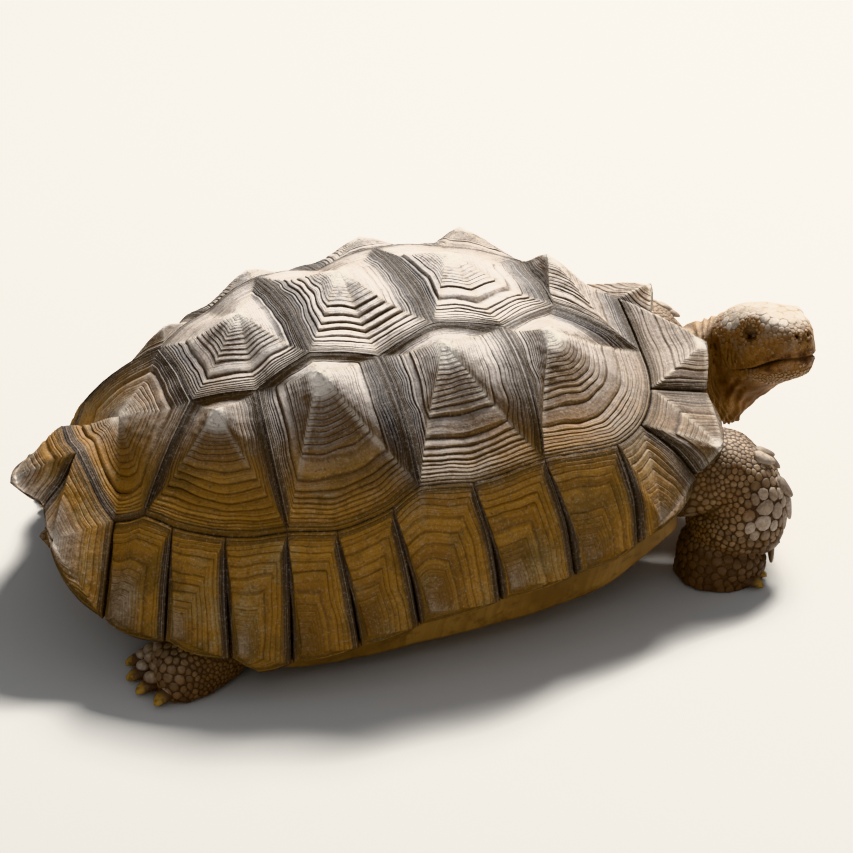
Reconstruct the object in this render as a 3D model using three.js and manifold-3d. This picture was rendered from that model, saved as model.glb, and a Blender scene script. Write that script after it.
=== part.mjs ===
// Sulcata tortoise, adult, resting on its plastron with the head raised and turned to its right.
// Millimetres, +X forward, +Y to the animal's left, +Z up, floor at z = 0.
//
// The shell is a net of corners: each horny plate spans one loop of the net and rises to its areola
// as a low pyramid, and its walls run in towards the spine, so neighbours meet with an even gap.
import * as THREE from 'three';
import { mergeVertices } from 'three/addons/utils/BufferGeometryUtils.js';
import Module from 'manifold-3d';

// ---------------------------------------------------------------- driving dimensions
const GAP = 0.4;                 // joint left between neighbouring pieces
const PLATE = 10;                // thickness of horn and bone together
const SHELL_CENTRE = -8;         // x of the middle of the shell's plan
const SPINE = { height: 80, reach: 0.55 };  // plates thicken towards this inner line

// Plan of the seam above the marginals, and of the rim: half-ovals of half lengths, half width and powers
const SEAM = { front: 289, rear: 268, half: 214, powers: [3.2, 2.0] };
const RIM = { front: 346, rear: 308, half: 247, powers: [3.1, 2.65] };
const NUCHAL_NOTCH = { depth: 24, spread: 6 };
// The rear of the left side is tucked in and hangs lower than the flared right: worst at one bearing
const TUCK = { depth: 34, drop: 8, bearing: 158, spread: 13 };

// Where the marginals part and their middles between, as (degrees from the front, height): twelve each
// side and half of the supracaudal. Plates of the crown meet the seam at some of them.
const SEAM_STATIONS = [[0, 227], [12.5, 200], [23, 188], [28, 181], [33, 176], [37, 174], [41, 174], [49.5, 182],
  [58, 187], [66, 182], [74.5, 178], [88, 184], [95, 167], [102, 156], [108.5, 149], [114, 149], [120, 149],
  [127, 143], [134, 140], [140, 140], [146, 141], [152.8, 145], [161, 125], [168, 152], [174, 172], [180, 170]];
const RIM_STATIONS = [[0, 195], [10.5, 196], [18, 170], [28, 141], [31.5, 123], [38.5, 104], [45.7, 88], [52, 81],
  [58, 76], [65.5, 71], [73, 67], [82, 62], [91, 57], [97.5, 51], [104, 45], [111, 40], [117.5, 36], [123, 31],
  [128.5, 44], [134, 49], [140, 57], [146, 59], [152, 62], [161, 94], [170, 136], [180, 131]];
// How far each marginal's middle stands out past the rim's oval
const SCALLOPS = [9, 18, 8, 5, 4, 4, 4, 4, 5, 6, 7, 11, 15];
// Outward belly (or, negative, the flare) of the seams between marginals, front to rear
const BELLIES = [-3, 0, 7, 8, 9, 10, 10, 10, 9, 8, 5, 0, -4, -7];
// Areola of each marginal: share of the way along its rim, and up from the rim
const AREOLA_ALONG = [0.5, 0.5, 0.72, 0.8, 0.84, 0.84, 0.84, 0.84, 0.84, 0.84, 0.8, 0.66, 0.5];
const AREOLA_UP = [0.1, 0.08, 0.1, 0.1, 0.1, 0.1, 0.1, 0.1, 0.1, 0.1, 0.1, 0.14, 0.12];
const MARGINAL_RISES = [11, 7, 5, 5, 5, 5, 5, 5, 5, 5, 5, 6, 6];

// Corners of the net on the right side, as (x, distance from the midline, height)
const VERTEBRAL_CORNERS = [[192, 54, 260], [58, 87, 279], [-63, 85, 268], [-169, 57, 223]];
const COSTAL_CORNERS = [[126, 93, 267], [1, 96, 259], [-115, 85, 238]];
const VERTEBRAL_SEAMS = [[188, 270], [61, 287], [-60, 277], [-167, 225]];  // (x, height) on the midline
// Areolae: vertebrals as (x, height), costals as (x, distance from the midline, height)
const VERTEBRAL_AREOLAE = [[206, 290], [103, 307], [-6, 306], [-106, 278], [-227, 189]];
const COSTAL_AREOLAE = [[160, 121, 273], [55, 122, 278], [-64, 115, 265], [-156, 92, 229]];
const BELLY_COSTAL = 13;         // outward belly of the seams between costals
const BELLY_CROWN = 3;           // and of the short seams along the vertebrals

// Plastron: (x, half width) stations, the seams between its plates, and its section
const PLASTRON_WIDTHS = [[306, 26], [285, 52], [245, 72], [200, 112], [150, 146], [90, 166], [-60, 166], [-110, 146],
  [-165, 112], [-215, 84], [-262, 40]];
const PLASTRON_SEAMS = [306, 246, 168, 84, -62, -160, -262];
const PLASTRON_NAMES = ['gular', 'humeral', 'pectoral', 'abdominal', 'femoral', 'anal'];
const PLASTRON = { thick: 14, bevel: 18, edge: 7, upturn: 12 };
// Bridge between the shell's rim, from one station to another, and the plastron, over a span of x;
// its free ends reach only a share of the way down
const BRIDGE = { first: 5, last: 17, thick: 9, joint: 6, span: [-118, 162], ends: 0.3 };

// Head: position of its base, turn, tilt and roll in degrees, and its stations
const HEAD = { base: [403, -15, 168], yaw: -74, pitch: 20, roll: 6.5, around: 16 };
// (along, half width, crown, underside, squareness)
const HEAD_STATIONS = [[6, 38, 36, 66, 2.1], [24, 40, 39, 57, 2.2], [46, 38, 39, 47, 2.4], [64, 35, 36, 41, 2.4],
  [80, 30, 31, 37, 2.4], [90, 25, 27, 34, 2.5], [97, 18, 20, 30, 2.5], [102, 9, 11, 23, 2.2]];
const HEAD_RINGS = [6, 16, 26, 36, 46, 55, 64, 72, 80, 86, 91, 95, 99];
// Side view of the mouth: (along, height) of the upper tomium, and of the lower jaw's edge below it
const UPPER_TOMIUM = [[38, -23], [58, -21], [76, -16], [88, -12], [108, -13]];
const LOWER_TOMIUM = [[38, -24], [58, -25.5], [76, -24.5], [88, -21], [108, -17]];
const JAW = { hinge: 38, front: 96, below: -90 };
const EYE = { radius: 9, along: 62, out: 27, up: 13 };

// Neck, tail and limbs: (x, y, z, half width, half height), y for the right side of the pair
const NECK_STATIONS = [[222, 0, 112, 62, 58], [262, -1, 114, 60, 58], [300, -2, 118, 54, 60],
  [332, -4, 123, 50, 55], [360, -8, 133, 45, 51]];
const NECK_BLEND = [0.35, 0.7, 1];   // shares of the way from the last station to the base of the head
const THROAT_POUCH = [8, -4, -14];  // how far the skin under the head hangs forward and down
const TAIL_STATIONS = [[-228, 0, 100, 26, 24], [-256, 0, 92, 22, 20], [-284, -3, 80, 15, 14], [-304, -6, 68, 8, 8]];
const FORELEG_STATIONS = [[214, -102, 80, 44, 42], [262, -120, 92, 48, 43], [306, -133, 102, 49, 43],
  [342, -148, 93, 47, 47], [344, -158, 64, 45, 47], [333, -162, 42, 42, 42], [327, -163, 22, 43, 43],
  [323, -164, -6, 41, 43]];
const STRIDE = 36;               // how much further forward the left foreleg stands
const HINDLEG_STATIONS = [[-168, -88, 72, 44, 42], [-144, -120, 62, 46, 42], [-154, -150, 47, 43, 36],
  [-188, -171, 28, 36, 37], [-222, -180, 17, 29, 42], [-248, -178, 14, 26, 38]];
// Claws: how many, their size, the middle of the row of their roots, its half width, and the way they point
const FORE_CLAWS = { count: 5, length: 20, radius: 8, middle: [350, -169, 9], spread: 31, ahead: [0.97, -0.22, 0] };
const HIND_CLAWS = { count: 4, length: 20, radius: 9, middle: [-250, -178, 11], spread: 30, ahead: [-1, -0.1, 0] };
const CLAW = { fan: 0.45, arch: 8, hook: 5, sides: 6, shares: [-0.4, 0.4, 0.95] };

// ---------------------------------------------------------------- helpers
const rad = THREE.MathUtils.degToRad;
const vec = (x, y, z) => new THREE.Vector3(x, y, z);
const lerp = (a, b, t) => a.clone().lerp(b, t);
const RIGHT = vec(0, -1, 0);

// Smooth curve through stations of (t, value): cubic pieces whose slopes are the mean of their neighbours
function smooth(stations, t, column = 1) {
  const last = stations.length - 1;
  const up = stations[last][0] > stations[0][0];
  let i = 0;
  while (i < last - 1 && (up ? t > stations[i + 1][0] : t < stations[i + 1][0])) i += 1;
  const slope = (k) => {
    const a = stations[Math.max(k - 1, 0)];
    const b = stations[Math.min(k + 1, last)];
    return (b[column] - a[column]) / (b[0] - a[0]);
  };
  const [t0, t1] = [stations[i][0], stations[i + 1][0]];
  const h = t1 - t0;
  const u = THREE.MathUtils.clamp((t - t0) / h, 0, 1);
  const [v0, v1] = [stations[i][column], stations[i + 1][column]];
  const [m0, m1] = [slope(i) * h, slope(i + 1) * h];
  return (2 * u ** 3 - 3 * u ** 2 + 1) * v0 + (u ** 3 - 2 * u ** 2 + u) * m0
    + (3 * u ** 2 - 2 * u ** 3) * v1 + (u ** 3 - u ** 2) * m1;
}

// Signed volume of a triangle mesh, to face it outwards
function volume(points, faces) {
  let total = 0;
  for (const [a, b, c] of faces) total += points[a].dot(points[b].clone().cross(points[c])) / 6;
  return total;
}

// Closed body from points and faces
function body(points, faces) {
  const outward = volume(points, faces) > 0 ? faces : faces.map(([a, b, c]) => [a, c, b]);
  const geometry = new THREE.BufferGeometry();
  geometry.setAttribute('position', new THREE.Float32BufferAttribute(points.flatMap((p) => p.toArray()), 3));
  geometry.setIndex(outward.flat());
  return geometry;
}

// Skin of faces over rings of equal count, each ring closed, with a fan at either end
function rings(loops, capFirst, capLast) {
  const count = loops[0].length;
  const points = loops.flat();
  const faces = [];
  for (let r = 0; r + 1 < loops.length; r += 1) {
    for (let i = 0; i < count; i += 1) {
      const [a, b] = [r * count + i, r * count + ((i + 1) % count)];
      faces.push([a, b, b + count], [a, b + count, a + count]);
    }
  }
  const fan = (centre, start, flip) => {
    const hub = points.push(centre) - 1;
    for (let i = 0; i < count; i += 1) {
      const [a, b] = [start + i, start + ((i + 1) % count)];
      faces.push(flip ? [hub, b, a] : [hub, a, b]);
    }
  };
  const middle = (loop) => loop.reduce((sum, p) => sum.add(p), vec(0, 0, 0)).divideScalar(loop.length);
  fan(capFirst ?? middle(loops[0]), 0, true);
  fan(capLast ?? middle(loops.at(-1)), (loops.length - 1) * count, false);
  return body(points, faces);
}

const wasm = await Module();
wasm.setup();

function toManifold(geometry) {
  const bare = geometry.clone();
  bare.deleteAttribute('normal');
  bare.deleteAttribute('uv');
  const welded = mergeVertices(bare, 1e-4);
  return new wasm.Manifold(new wasm.Mesh({
    numProp: 3,
    vertProperties: new Float32Array(welded.attributes.position.array),
    triVerts: new Uint32Array(welded.index.array),
  }));
}

function fromManifold(solid) {
  const mesh = solid.getMesh();
  const geometry = new THREE.BufferGeometry();
  geometry.setAttribute('position', new THREE.Float32BufferAttribute(mesh.vertProperties, 3));
  geometry.setIndex([...mesh.triVerts]);
  return geometry;
}

// ---------------------------------------------------------------- the net of the shell
function oval(plan, degrees) {
  const [c, s] = [Math.cos(rad(degrees)), Math.sin(rad(degrees))];
  const [long, power] = c > 0 ? [plan.front, plan.powers[0]] : [plan.rear, plan.powers[1]];
  return (Math.abs(c / long) ** power + Math.abs(s / plan.half) ** power) ** (-1 / power);
}

function polar(degrees, radius, height) {
  return vec(SHELL_CENTRE + radius * Math.cos(rad(degrees)), -radius * Math.sin(rad(degrees)), height);
}

// A place on the seam or the rim is a station number, with fractions between stations
const between = (stations, place, column) => {
  const first = Math.min(Math.floor(place), stations.length - 2);
  return THREE.MathUtils.lerp(stations[first][column], stations[first + 1][column], place - first);
};

function seamPoint(place) {
  const degrees = between(SEAM_STATIONS, place, 0);
  return polar(degrees, oval(SEAM, degrees), smooth(SEAM_STATIONS, degrees));
}

function rimPoint(place, left = false) {
  const degrees = between(RIM_STATIONS, place, 0);
  const notch = NUCHAL_NOTCH.depth * Math.exp(-((degrees / NUCHAL_NOTCH.spread) ** 2));
  const plateNumber = Math.min(Math.floor(place / 2), SCALLOPS.length - 1);
  const scallop = SCALLOPS[plateNumber] * Math.sin(Math.PI * (place / 2 - plateNumber));
  const tuck = left ? Math.exp(-(((degrees - TUCK.bearing) / TUCK.spread) ** 2)) : 0;
  return polar(degrees, oval(RIM, degrees) + scallop - notch - TUCK.depth * tuck,
    smooth(RIM_STATIONS, degrees) - TUCK.drop * tuck);
}

// Point of the inner line that a shell point thickens towards, and the move by a depth towards it
const spine = (p) => vec(SHELL_CENTRE + SPINE.reach * (p.x - SHELL_CENTRE), 0, SPINE.height);
function inward(p, depth) {
  const step = spine(p).sub(p);
  return p.clone().addScaledVector(step.normalize(), depth);
}

// Run of points from a to b, the last left out, with an outward belly
function edge(a, b, pieces, belly = 0) {
  return Array.from({ length: pieces }, (_, i) => {
    const t = i / pieces;
    return inward(lerp(a, b, t), -4 * belly * t * (1 - t));
  });
}

// Run of points along the seam or the rim from one station to another, the last left out
const run = (curve, first, last) => Array.from({ length: (last - first) * 2 }, (_, i) => curve(first + i / 2));

const mirror = (p) => vec(p.x, -p.y, p.z);
const corner = ([x, y, z]) => vec(x, -y, z);
const vertebralCorners = VERTEBRAL_CORNERS.map(corner);
const costalCorners = COSTAL_CORNERS.map(corner);
const seamMiddles = VERTEBRAL_SEAMS.map(([x, z]) => vec(x, 0, z));
const [FRONT, C12, C23, C34, REAR, CAUDAL, END] = [1, 8, 11, 16, 21, 24, 25];  // seam stations where plates change

// Right half of the loop of each vertebral, from the front of the midline to the rear of it
function vertebralHalf(i) {
  const front = i === 0
    ? run(seamPoint, 0, FRONT)
    : edge(seamMiddles[i - 1], vertebralCorners[i - 1], 2, BELLY_CROWN);
  if (i === 0) {
    return [...front, ...edge(seamPoint(FRONT), vertebralCorners[0], 3, BELLY_CROWN * 2),
      ...edge(vertebralCorners[0], seamMiddles[0], 2, BELLY_CROWN), seamMiddles[0]];
  }
  if (i === 4) {
    return [...front, ...edge(vertebralCorners[3], seamPoint(REAR), 3, BELLY_CROWN * 2),
      ...run(seamPoint, REAR, END), seamPoint(END)];
  }
  return [...front, ...edge(vertebralCorners[i - 1], costalCorners[i - 1], 2, BELLY_CROWN),
    ...edge(costalCorners[i - 1], vertebralCorners[i], 2, BELLY_CROWN),
    ...edge(vertebralCorners[i], seamMiddles[i], 2, BELLY_CROWN), seamMiddles[i]];
}

function vertebralLoop(i) {
  const half = vertebralHalf(i);
  return [...half, ...half.slice(1, -1).reverse().map(mirror)];
}

// An edge walked the other way, so that both its plates share the same points
function reversed(a, b, pieces, belly) {
  return [b, ...edge(a, b, pieces, belly).slice(1).reverse()];
}

function costalLoop(i) {
  const stations = [FRONT, C12, C23, C34, REAR];
  const seam = run(seamPoint, stations[i], stations[i + 1]);
  const down = (k) => [costalCorners[k], seamPoint(stations[k + 1]), 4, BELLY_COSTAL];
  const crown = (a, b) => reversed(a, b, 2, BELLY_CROWN);
  if (i === 0) {
    return [...seam, ...reversed(...down(0)), ...crown(vertebralCorners[0], costalCorners[0]),
      ...reversed(seamPoint(FRONT), vertebralCorners[0], 3, BELLY_CROWN * 2)];
  }
  if (i === 3) {
    return [...edge(...down(2)), ...seam,
      ...reversed(vertebralCorners[3], seamPoint(REAR), 3, BELLY_CROWN * 2),
      ...crown(costalCorners[2], vertebralCorners[3])];
  }
  return [...edge(...down(i - 1)), ...seam, ...reversed(...down(i)),
    ...crown(vertebralCorners[i], costalCorners[i]), ...crown(costalCorners[i - 1], vertebralCorners[i])];
}

// Seam between marginals, k = 0 on the midline in front to 12 beside the supracaudal
const marginalSide = (k, left) => [seamPoint(2 * k), rimPoint(2 * k, left), 2, BELLIES[k]];

function marginalLoop(k, left) {
  const rim = run((place) => rimPoint(place, left), 2 * k, 2 * k + 2);
  return [...run(seamPoint, 2 * k, 2 * k + 2), ...edge(...marginalSide(k + 1, left)), rimPoint(2 * k + 2, left),
    ...rim.slice(1).reverse(), ...reversed(...marginalSide(k, left))];
}

function marginalAreola(k, left) {
  const place = 2 * (k + AREOLA_ALONG[k]);
  return inward(lerp(rimPoint(place, left), seamPoint(place), AREOLA_UP[k]), -MARGINAL_RISES[k]);
}

function supracaudalLoop() {
  const seam = [...run(seamPoint, CAUDAL, END), seamPoint(END)];
  const rim = (left) => run((place) => rimPoint(place, left), CAUDAL, END);
  const side = (left) => edge(...marginalSide(12, left)).slice(1);
  return [...seam, ...seam.slice(0, -1).reverse().map(mirror), ...side(true).map(mirror),
    ...rim(true).map(mirror), rimPoint(END), ...rim(false).reverse(), ...side(false).reverse()];
}

// ---------------------------------------------------------------- horny plates
const RING_SHARES = [0.14, 0.58, 1];    // edge of the areola, middle of the flank, seam
const MARGINAL_SHARES = [0.16, 1];      // the smaller marginals have straight flanks
const FLANK_BELLY = 3;                 // outward swell of a plate's flanks

function plate(loop, areola, shares = RING_SHARES) {
  const middle = loop.reduce((sum, p) => sum.add(p), vec(0, 0, 0)).divideScalar(loop.length);
  const shrunk = loop.map((p) => p.clone().addScaledVector(middle.clone().sub(p).normalize(), GAP));
  const outer = shares.map((share) => shrunk.map((p) => {
    const onFlank = lerp(areola, p, share);
    return inward(onFlank, -4 * FLANK_BELLY * share * (1 - share));
  }));
  const inner = shrunk.map((p) => inward(p, PLATE));
  return rings([...outer, inner], inward(areola, 1), inward(areola, PLATE * 1.4));
}

const vertebralAreolae = VERTEBRAL_AREOLAE.map(([x, z]) => vec(x, 0, z));
const costalAreolae = COSTAL_AREOLAE.map(corner);

// ---------------------------------------------------------------- trunk
// Clearance under the plates; where the limbs come out, the lining's depth behind the rim and its drop; how far
// the wall's foot stands in from the plastron's edge and how far its front and rear reach; wall behind the bridge
const TRUNK = { clear: 1.2, lining: 26, drop: 18, inset: 16, reach: 0.93, floor: [-225, 245], flank: 10, rise: 4 };

const plastronWidth = (x) => smooth(PLASTRON_WIDTHS, x);

// Flesh and bone inside the shell: its roof follows the plates, its walls run down to the plastron.
// A margin makes it larger all round, to cut what joins it.
function trunk(margin) {
  const depth = PLATE + TRUNK.clear - margin;
  const points = [];
  const faces = [];
  const index = new Map();
  const put = (p) => {
    const key = p.toArray().map((v) => v.toFixed(3)).join();
    if (!index.has(key)) index.set(key, points.push(p) - 1);
    return index.get(key);
  };
  const fan = (loop, areola) => {
    const hub = put(inward(areola, PLATE * 0.4 + depth));
    const around = loop.map((p) => put(inward(p, depth)));
    around.forEach((a, i) => faces.push([hub, a, around[(i + 1) % around.length]]));
  };
  for (let i = 0; i < 5; i += 1) fan(vertebralLoop(i), vertebralAreolae[i]);
  for (let i = 0; i < 4; i += 1) {
    fan(costalLoop(i), costalAreolae[i]);
    fan(costalLoop(i).map(mirror).reverse(), mirror(costalAreolae[i]));
  }
  // Wall of one side, station by station: seam, lining, foot
  const stations = [];
  for (let place = 0; place <= END; place += 0.5) stations.push(place);
  const wall = stations.map((place) => {
    const bridge = place >= BRIDGE.first + 2 && place <= BRIDGE.last - 2;
    const top = seamPoint(place);
    const open = inward(inward(top, depth), TRUNK.lining - margin);
    open.z -= TRUNK.drop;
    const shut = inward(rimPoint(place), depth + TRUNK.flank);
    shut.z += TRUNK.rise;
    const lining = bridge ? shut : open;
    const reach = bridge ? 1 : TRUNK.reach;
    const footX = THREE.MathUtils.clamp(lining.x * reach, ...TRUNK.floor);
    const half = Math.min(Math.abs(lining.y), plastronWidth(footX) - (bridge ? 2 : TRUNK.inset) + margin);
    const foot = vec(footX + Math.sign(footX) * margin, -half, PLASTRON.thick + GAP - margin / 2);
    return [inward(top, depth), lining, foot];
  });
  const loop = [...wall, ...wall.slice(1, -1).reverse().map((row) => row.map(mirror))];
  loop.forEach((row, i) => {
    const next = loop[(i + 1) % loop.length];
    for (let j = 0; j < 2; j += 1) {
      const [a, b, c, d] = [row[j], next[j], next[j + 1], row[j + 1]].map(put);
      if (i < wall.length - 1) faces.push([a, c, b], [a, d, c]);
      else faces.push([a, d, b], [b, d, c]);
    }
    faces.push([put(vec(0, 0, PLASTRON.thick + GAP - margin / 2)), put(next[2]), put(row[2])]);
  });
  return body(points, faces.filter(([a, b, c]) => a !== b && b !== c && a !== c));
}

// ---------------------------------------------------------------- plastron and bridges
function plastronSection(x, grow = 0) {
  const half = plastronWidth(x) + grow;
  const bevel = Math.min(PLASTRON.bevel, half / 2);
  const [front, gular] = PLASTRON_SEAMS;
  const lift = PLASTRON.upturn * Math.max(0, (x - gular) / (front - gular)) ** 2;
  const [low, high] = [lift - grow, PLASTRON.thick + lift + grow];
  const edgeUp = low + PLASTRON.edge;
  return [[-half + bevel, low], [half - bevel, low], [half, edgeUp], [half, high], [0, high], [-half, high],
    [-half, edgeUp]].map(([y, z]) => vec(x, y, z));
}

function plastronRun(front, rear, pieces, grow) {
  const sections = Array.from({ length: pieces + 1 }, (_, k) => front + (rear - front) * k / pieces);
  return rings(sections.map((x) => plastronSection(x, grow)));
}

const plastronPlate = (i) => plastronRun(PLASTRON_SEAMS[i] - GAP / 2, PLASTRON_SEAMS[i + 1] + GAP / 2, 3);

// Plate from the underside of the marginals, down and in to the side of the plastron
function bridge() {
  const sections = [];
  for (let k = BRIDGE.last; k >= BRIDGE.first; k -= 1) {
    const rim = rimPoint(k);
    const reach = Math.min(1, BRIDGE.ends + (1 - BRIDGE.ends) * Math.min(k - BRIDGE.first, BRIDGE.last - k) / 2);
    const x = THREE.MathUtils.clamp(rim.x, ...BRIDGE.span);
    const side = -plastronWidth(x) - 3 * GAP;
    const outer = inward(rim, 1.5).setZ(rim.z - BRIDGE.joint);
    const inner = inward(rim, BRIDGE.thick).setZ(rim.z - BRIDGE.joint);
    const foot = lerp(outer, vec(x, side, PLASTRON.edge - 2), reach);
    const heel = lerp(inner, vec(x, side, PLASTRON.thick), reach);
    const bend = vec(rim.x, THREE.MathUtils.lerp(outer.y, foot.y, 0.2), THREE.MathUtils.lerp(rim.z, foot.z, 0.55));
    sections.push([outer, inner, bend.clone().add(vec(0, BRIDGE.thick, BRIDGE.thick / 2)), heel, foot, bend]);
  }
  return rings(sections);
}

// ---------------------------------------------------------------- limbs, neck and tail
// Tube through stations of (x, y, z, half width, half height), its width along a fixed side direction
function tube(stations, side, spans, around, square = 2.2) {
  const rows = stations.map((row, i) => [i, ...row]);
  const steps = (stations.length - 1) * spans;
  const at = (t) => [1, 2, 3, 4, 5].map((column) => smooth(rows, t, column));
  return Array.from({ length: steps + 1 }, (_, k) => {
    const t = k / spans;
    const [x, y, z, wide, high] = at(t);
    const [before, after] = [at(Math.max(t - 0.05, 0)), at(Math.min(t + 0.05, stations.length - 1))];
    const along = vec(...after.slice(0, 3)).sub(vec(...before.slice(0, 3))).normalize();
    const up = side.clone().cross(along).normalize();
    const across = along.clone().cross(up);
    return squaredOval(vec(x, y, z), across, up, wide, high, high, square, around);
  });
}

// Ring of a squared oval: half width, crown above, underside below
function squaredOval(centre, across, up, wide, crown, under, square, around) {
  return Array.from({ length: around }, (_, i) => {
    const a = 2 * Math.PI * i / around;
    const power = (v) => Math.sign(v) * Math.abs(v) ** (2 / square);
    const s = power(Math.sin(a));
    return centre.clone().addScaledVector(across, wide * power(Math.cos(a)))
      .addScaledVector(up, (s > 0 ? crown : under) * s);
  });
}

// Claws spread in an arch across the front of a foot, fanned out and hooked down to the floor
function claws({ count, length, radius, middle, spread, ahead }) {
  const forward = vec(...ahead).normalize();
  const across = forward.clone().cross(vec(0, 0, 1));
  return Array.from({ length: count }, (_, i) => {
    const share = 2 * i / (count - 1) - 1;
    const aim = forward.clone().addScaledVector(across, CLAW.fan * share).normalize();
    const wide = aim.clone().cross(vec(0, 0, 1)).normalize();
    const root = vec(...middle).addScaledVector(across, spread * share)
      .addScaledVector(forward, -CLAW.arch * share * share);
    const loops = CLAW.shares.map((t) => {
      const taper = radius * Math.sqrt(Math.max(0.02, 1 - Math.max(t, 0) ** 1.6));
      const at = root.clone().addScaledVector(aim, length * t);
      at.z -= CLAW.hook * Math.max(t, 0) ** 2;
      return squaredOval(at, wide, vec(0, 0, 1), taper, taper * 0.8, taper * 0.7, 2, CLAW.sides);
    });
    return toManifold(rings(loops));
  });
}

const FLOOR_BOX = toManifold(new THREE.BoxGeometry(2000, 2000, 200).translate(0, 0, -100));

const LEG_SIDES = 14;

// A leg of the right side, cut off flat at the floor and clear of the body
function leg(stations, side, toes, cutters) {
  let solid = toManifold(rings(tube(stations, side, 2, LEG_SIDES)));
  solid = wasm.Manifold.union([solid, ...toes]).subtract(FLOOR_BOX);
  for (const cutter of cutters) solid = solid.subtract(cutter);
  return solid.asOriginal().simplify(GAP / 4);
}

// ---------------------------------------------------------------- head
const headFrame = (() => {
  const [yaw, pitch, roll] = [rad(HEAD.yaw), rad(HEAD.pitch), rad(HEAD.roll)];
  const ahead = vec(Math.cos(yaw) * Math.cos(pitch), Math.sin(yaw) * Math.cos(pitch), Math.sin(pitch));
  const flat = vec(Math.sin(yaw), -Math.cos(yaw), 0);
  const right = flat.applyAxisAngle(ahead, -roll);
  return { base: vec(...HEAD.base), ahead, right, up: right.clone().cross(ahead) };
})();

function inHead(along, out, up) {
  return headFrame.base.clone().addScaledVector(headFrame.ahead, along).addScaledVector(headFrame.right, out)
    .addScaledVector(headFrame.up, up);
}

function headRing(along) {
  const at = (column) => smooth(HEAD_STATIONS, along, column);
  return squaredOval(inHead(along, 0, 0), headFrame.right, headFrame.up, at(1), at(2), at(3), at(4), HEAD.around);
}

// Slab across the head whose side view is a polygon of (along, height)
function headSlab(outline) {
  const half = 60;   // wider than the head
  const [near, far] = [-half, half].map((out) => outline.map(([s, u]) => inHead(s, out, u)));
  return toManifold(rings([near, far]));
}

function eyeball(side, grow) {
  const ball = new THREE.SphereGeometry(EYE.radius + grow, 10, 7);
  const { x, y, z } = inHead(EYE.along, side * EYE.out, EYE.up);
  ball.translate(x, y, z);
  return ball;
}

function headPieces() {
  const whole = toManifold(rings(HEAD_RINGS.map(headRing)));
  const below = [[JAW.hinge, JAW.below], ...UPPER_TOMIUM, [JAW.front + 18, JAW.below]];
  const edgeOfJaw = LOWER_TOMIUM.map(([s, u]) => [THREE.MathUtils.clamp(s, JAW.hinge + GAP, JAW.front), u - GAP]);
  const jawSide = [[JAW.hinge + GAP, JAW.below], ...edgeOfJaw, [JAW.front, JAW.below]];
  let head = whole.subtract(headSlab(below));
  for (const side of [-1, 1]) head = head.subtract(toManifold(eyeball(side, GAP)));
  return { head, jaw: whole.intersect(headSlab(jawSide)) };
}

// ---------------------------------------------------------------- assembly
const COLOUR = { horn: 0xb08a55, skin: 0x9c7a55, eye: 0x17120d };
const tortoise = new THREE.Group();
tortoise.name = 'sulcata_tortoise';

function add(name, geometry, colour) {
  const mesh = new THREE.Mesh(geometry, new THREE.MeshStandardMaterial({ color: colour, roughness: 0.8 }));
  mesh.name = name;
  tortoise.add(mesh);
}

for (let i = 0; i < 5; i += 1) add(`vertebral_${i + 1}`, plate(vertebralLoop(i), vertebralAreolae[i]), COLOUR.horn);
for (const [side, reflect] of [['right', (p) => p], ['left', mirror]]) {
  for (let i = 0; i < 4; i += 1) {
    add(`costal_${side}_${i + 1}`, plate(costalLoop(i).map(reflect), reflect(costalAreolae[i])), COLOUR.horn);
  }
  for (let k = 0; k < 12; k += 1) {
    const left = side === 'left';
    const [loop, areola] = [marginalLoop(k, left).map(reflect), reflect(marginalAreola(k, left))];
    add(`marginal_${side}_${k + 1}`, plate(loop, areola, MARGINAL_SHARES), COLOUR.horn);
  }
}
const caudalAreola = inward(lerp(rimPoint(END), seamPoint(END), AREOLA_UP[12]), -MARGINAL_RISES[12]);
add('supracaudal', plate(supracaudalLoop(), caudalAreola), COLOUR.horn);
PLASTRON_NAMES.forEach((name, i) => add(`plastron_${name}`, plastronPlate(i), COLOUR.horn));
const bridgeRight = toManifold(bridge());
add('bridge_right', fromManifold(bridgeRight), COLOUR.horn);
add('bridge_left', fromManifold(bridgeRight.mirror([0, 1, 0])), COLOUR.horn);

add('trunk', trunk(0), COLOUR.skin);
const trunkCut = toManifold(trunk(3 * GAP));

// Neck: its stations, then rings that turn into the base of the head
const neckTube = tube(NECK_STATIONS, RIGHT, 2, HEAD.around);
const neckEnd = HEAD_STATIONS[0][0] - GAP;
const headBase = headRing(neckEnd);
const blend = NECK_BLEND.map((t) => neckTube.at(-1).map((p, i) => {
  const under = Math.max(0, -Math.sin(2 * Math.PI * i / HEAD.around));
  return lerp(p, headBase[i], t).addScaledVector(vec(...THROAT_POUCH), under * Math.sin(Math.PI * t));
}));
const headSpace = headSlab([[neckEnd, -90], [neckEnd, 60], [neckEnd + 120, 60], [neckEnd + 120, -90]]);
const neck = toManifold(rings([...neckTube, ...blend])).subtract(trunkCut).subtract(headSpace);
add('neck', fromManifold(neck), COLOUR.skin);
const { head, jaw } = headPieces();
add('head', fromManifold(head), COLOUR.skin);
add('lower_jaw', fromManifold(jaw), COLOUR.skin);
add('eye_right', eyeball(1, 0), COLOUR.eye);
add('eye_left', eyeball(-1, 0), COLOUR.eye);
const tail = toManifold(rings(tube(TAIL_STATIONS, RIGHT, 1, 10))).subtract(trunkCut);
add('tail', fromManifold(tail), COLOUR.skin);

const foreToes = claws(FORE_CLAWS);
const hindToes = claws(HIND_CLAWS);
const plastronCut = toManifold(plastronRun(PLASTRON_SEAMS[0], PLASTRON_SEAMS.at(-1), 12, GAP));
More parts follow.
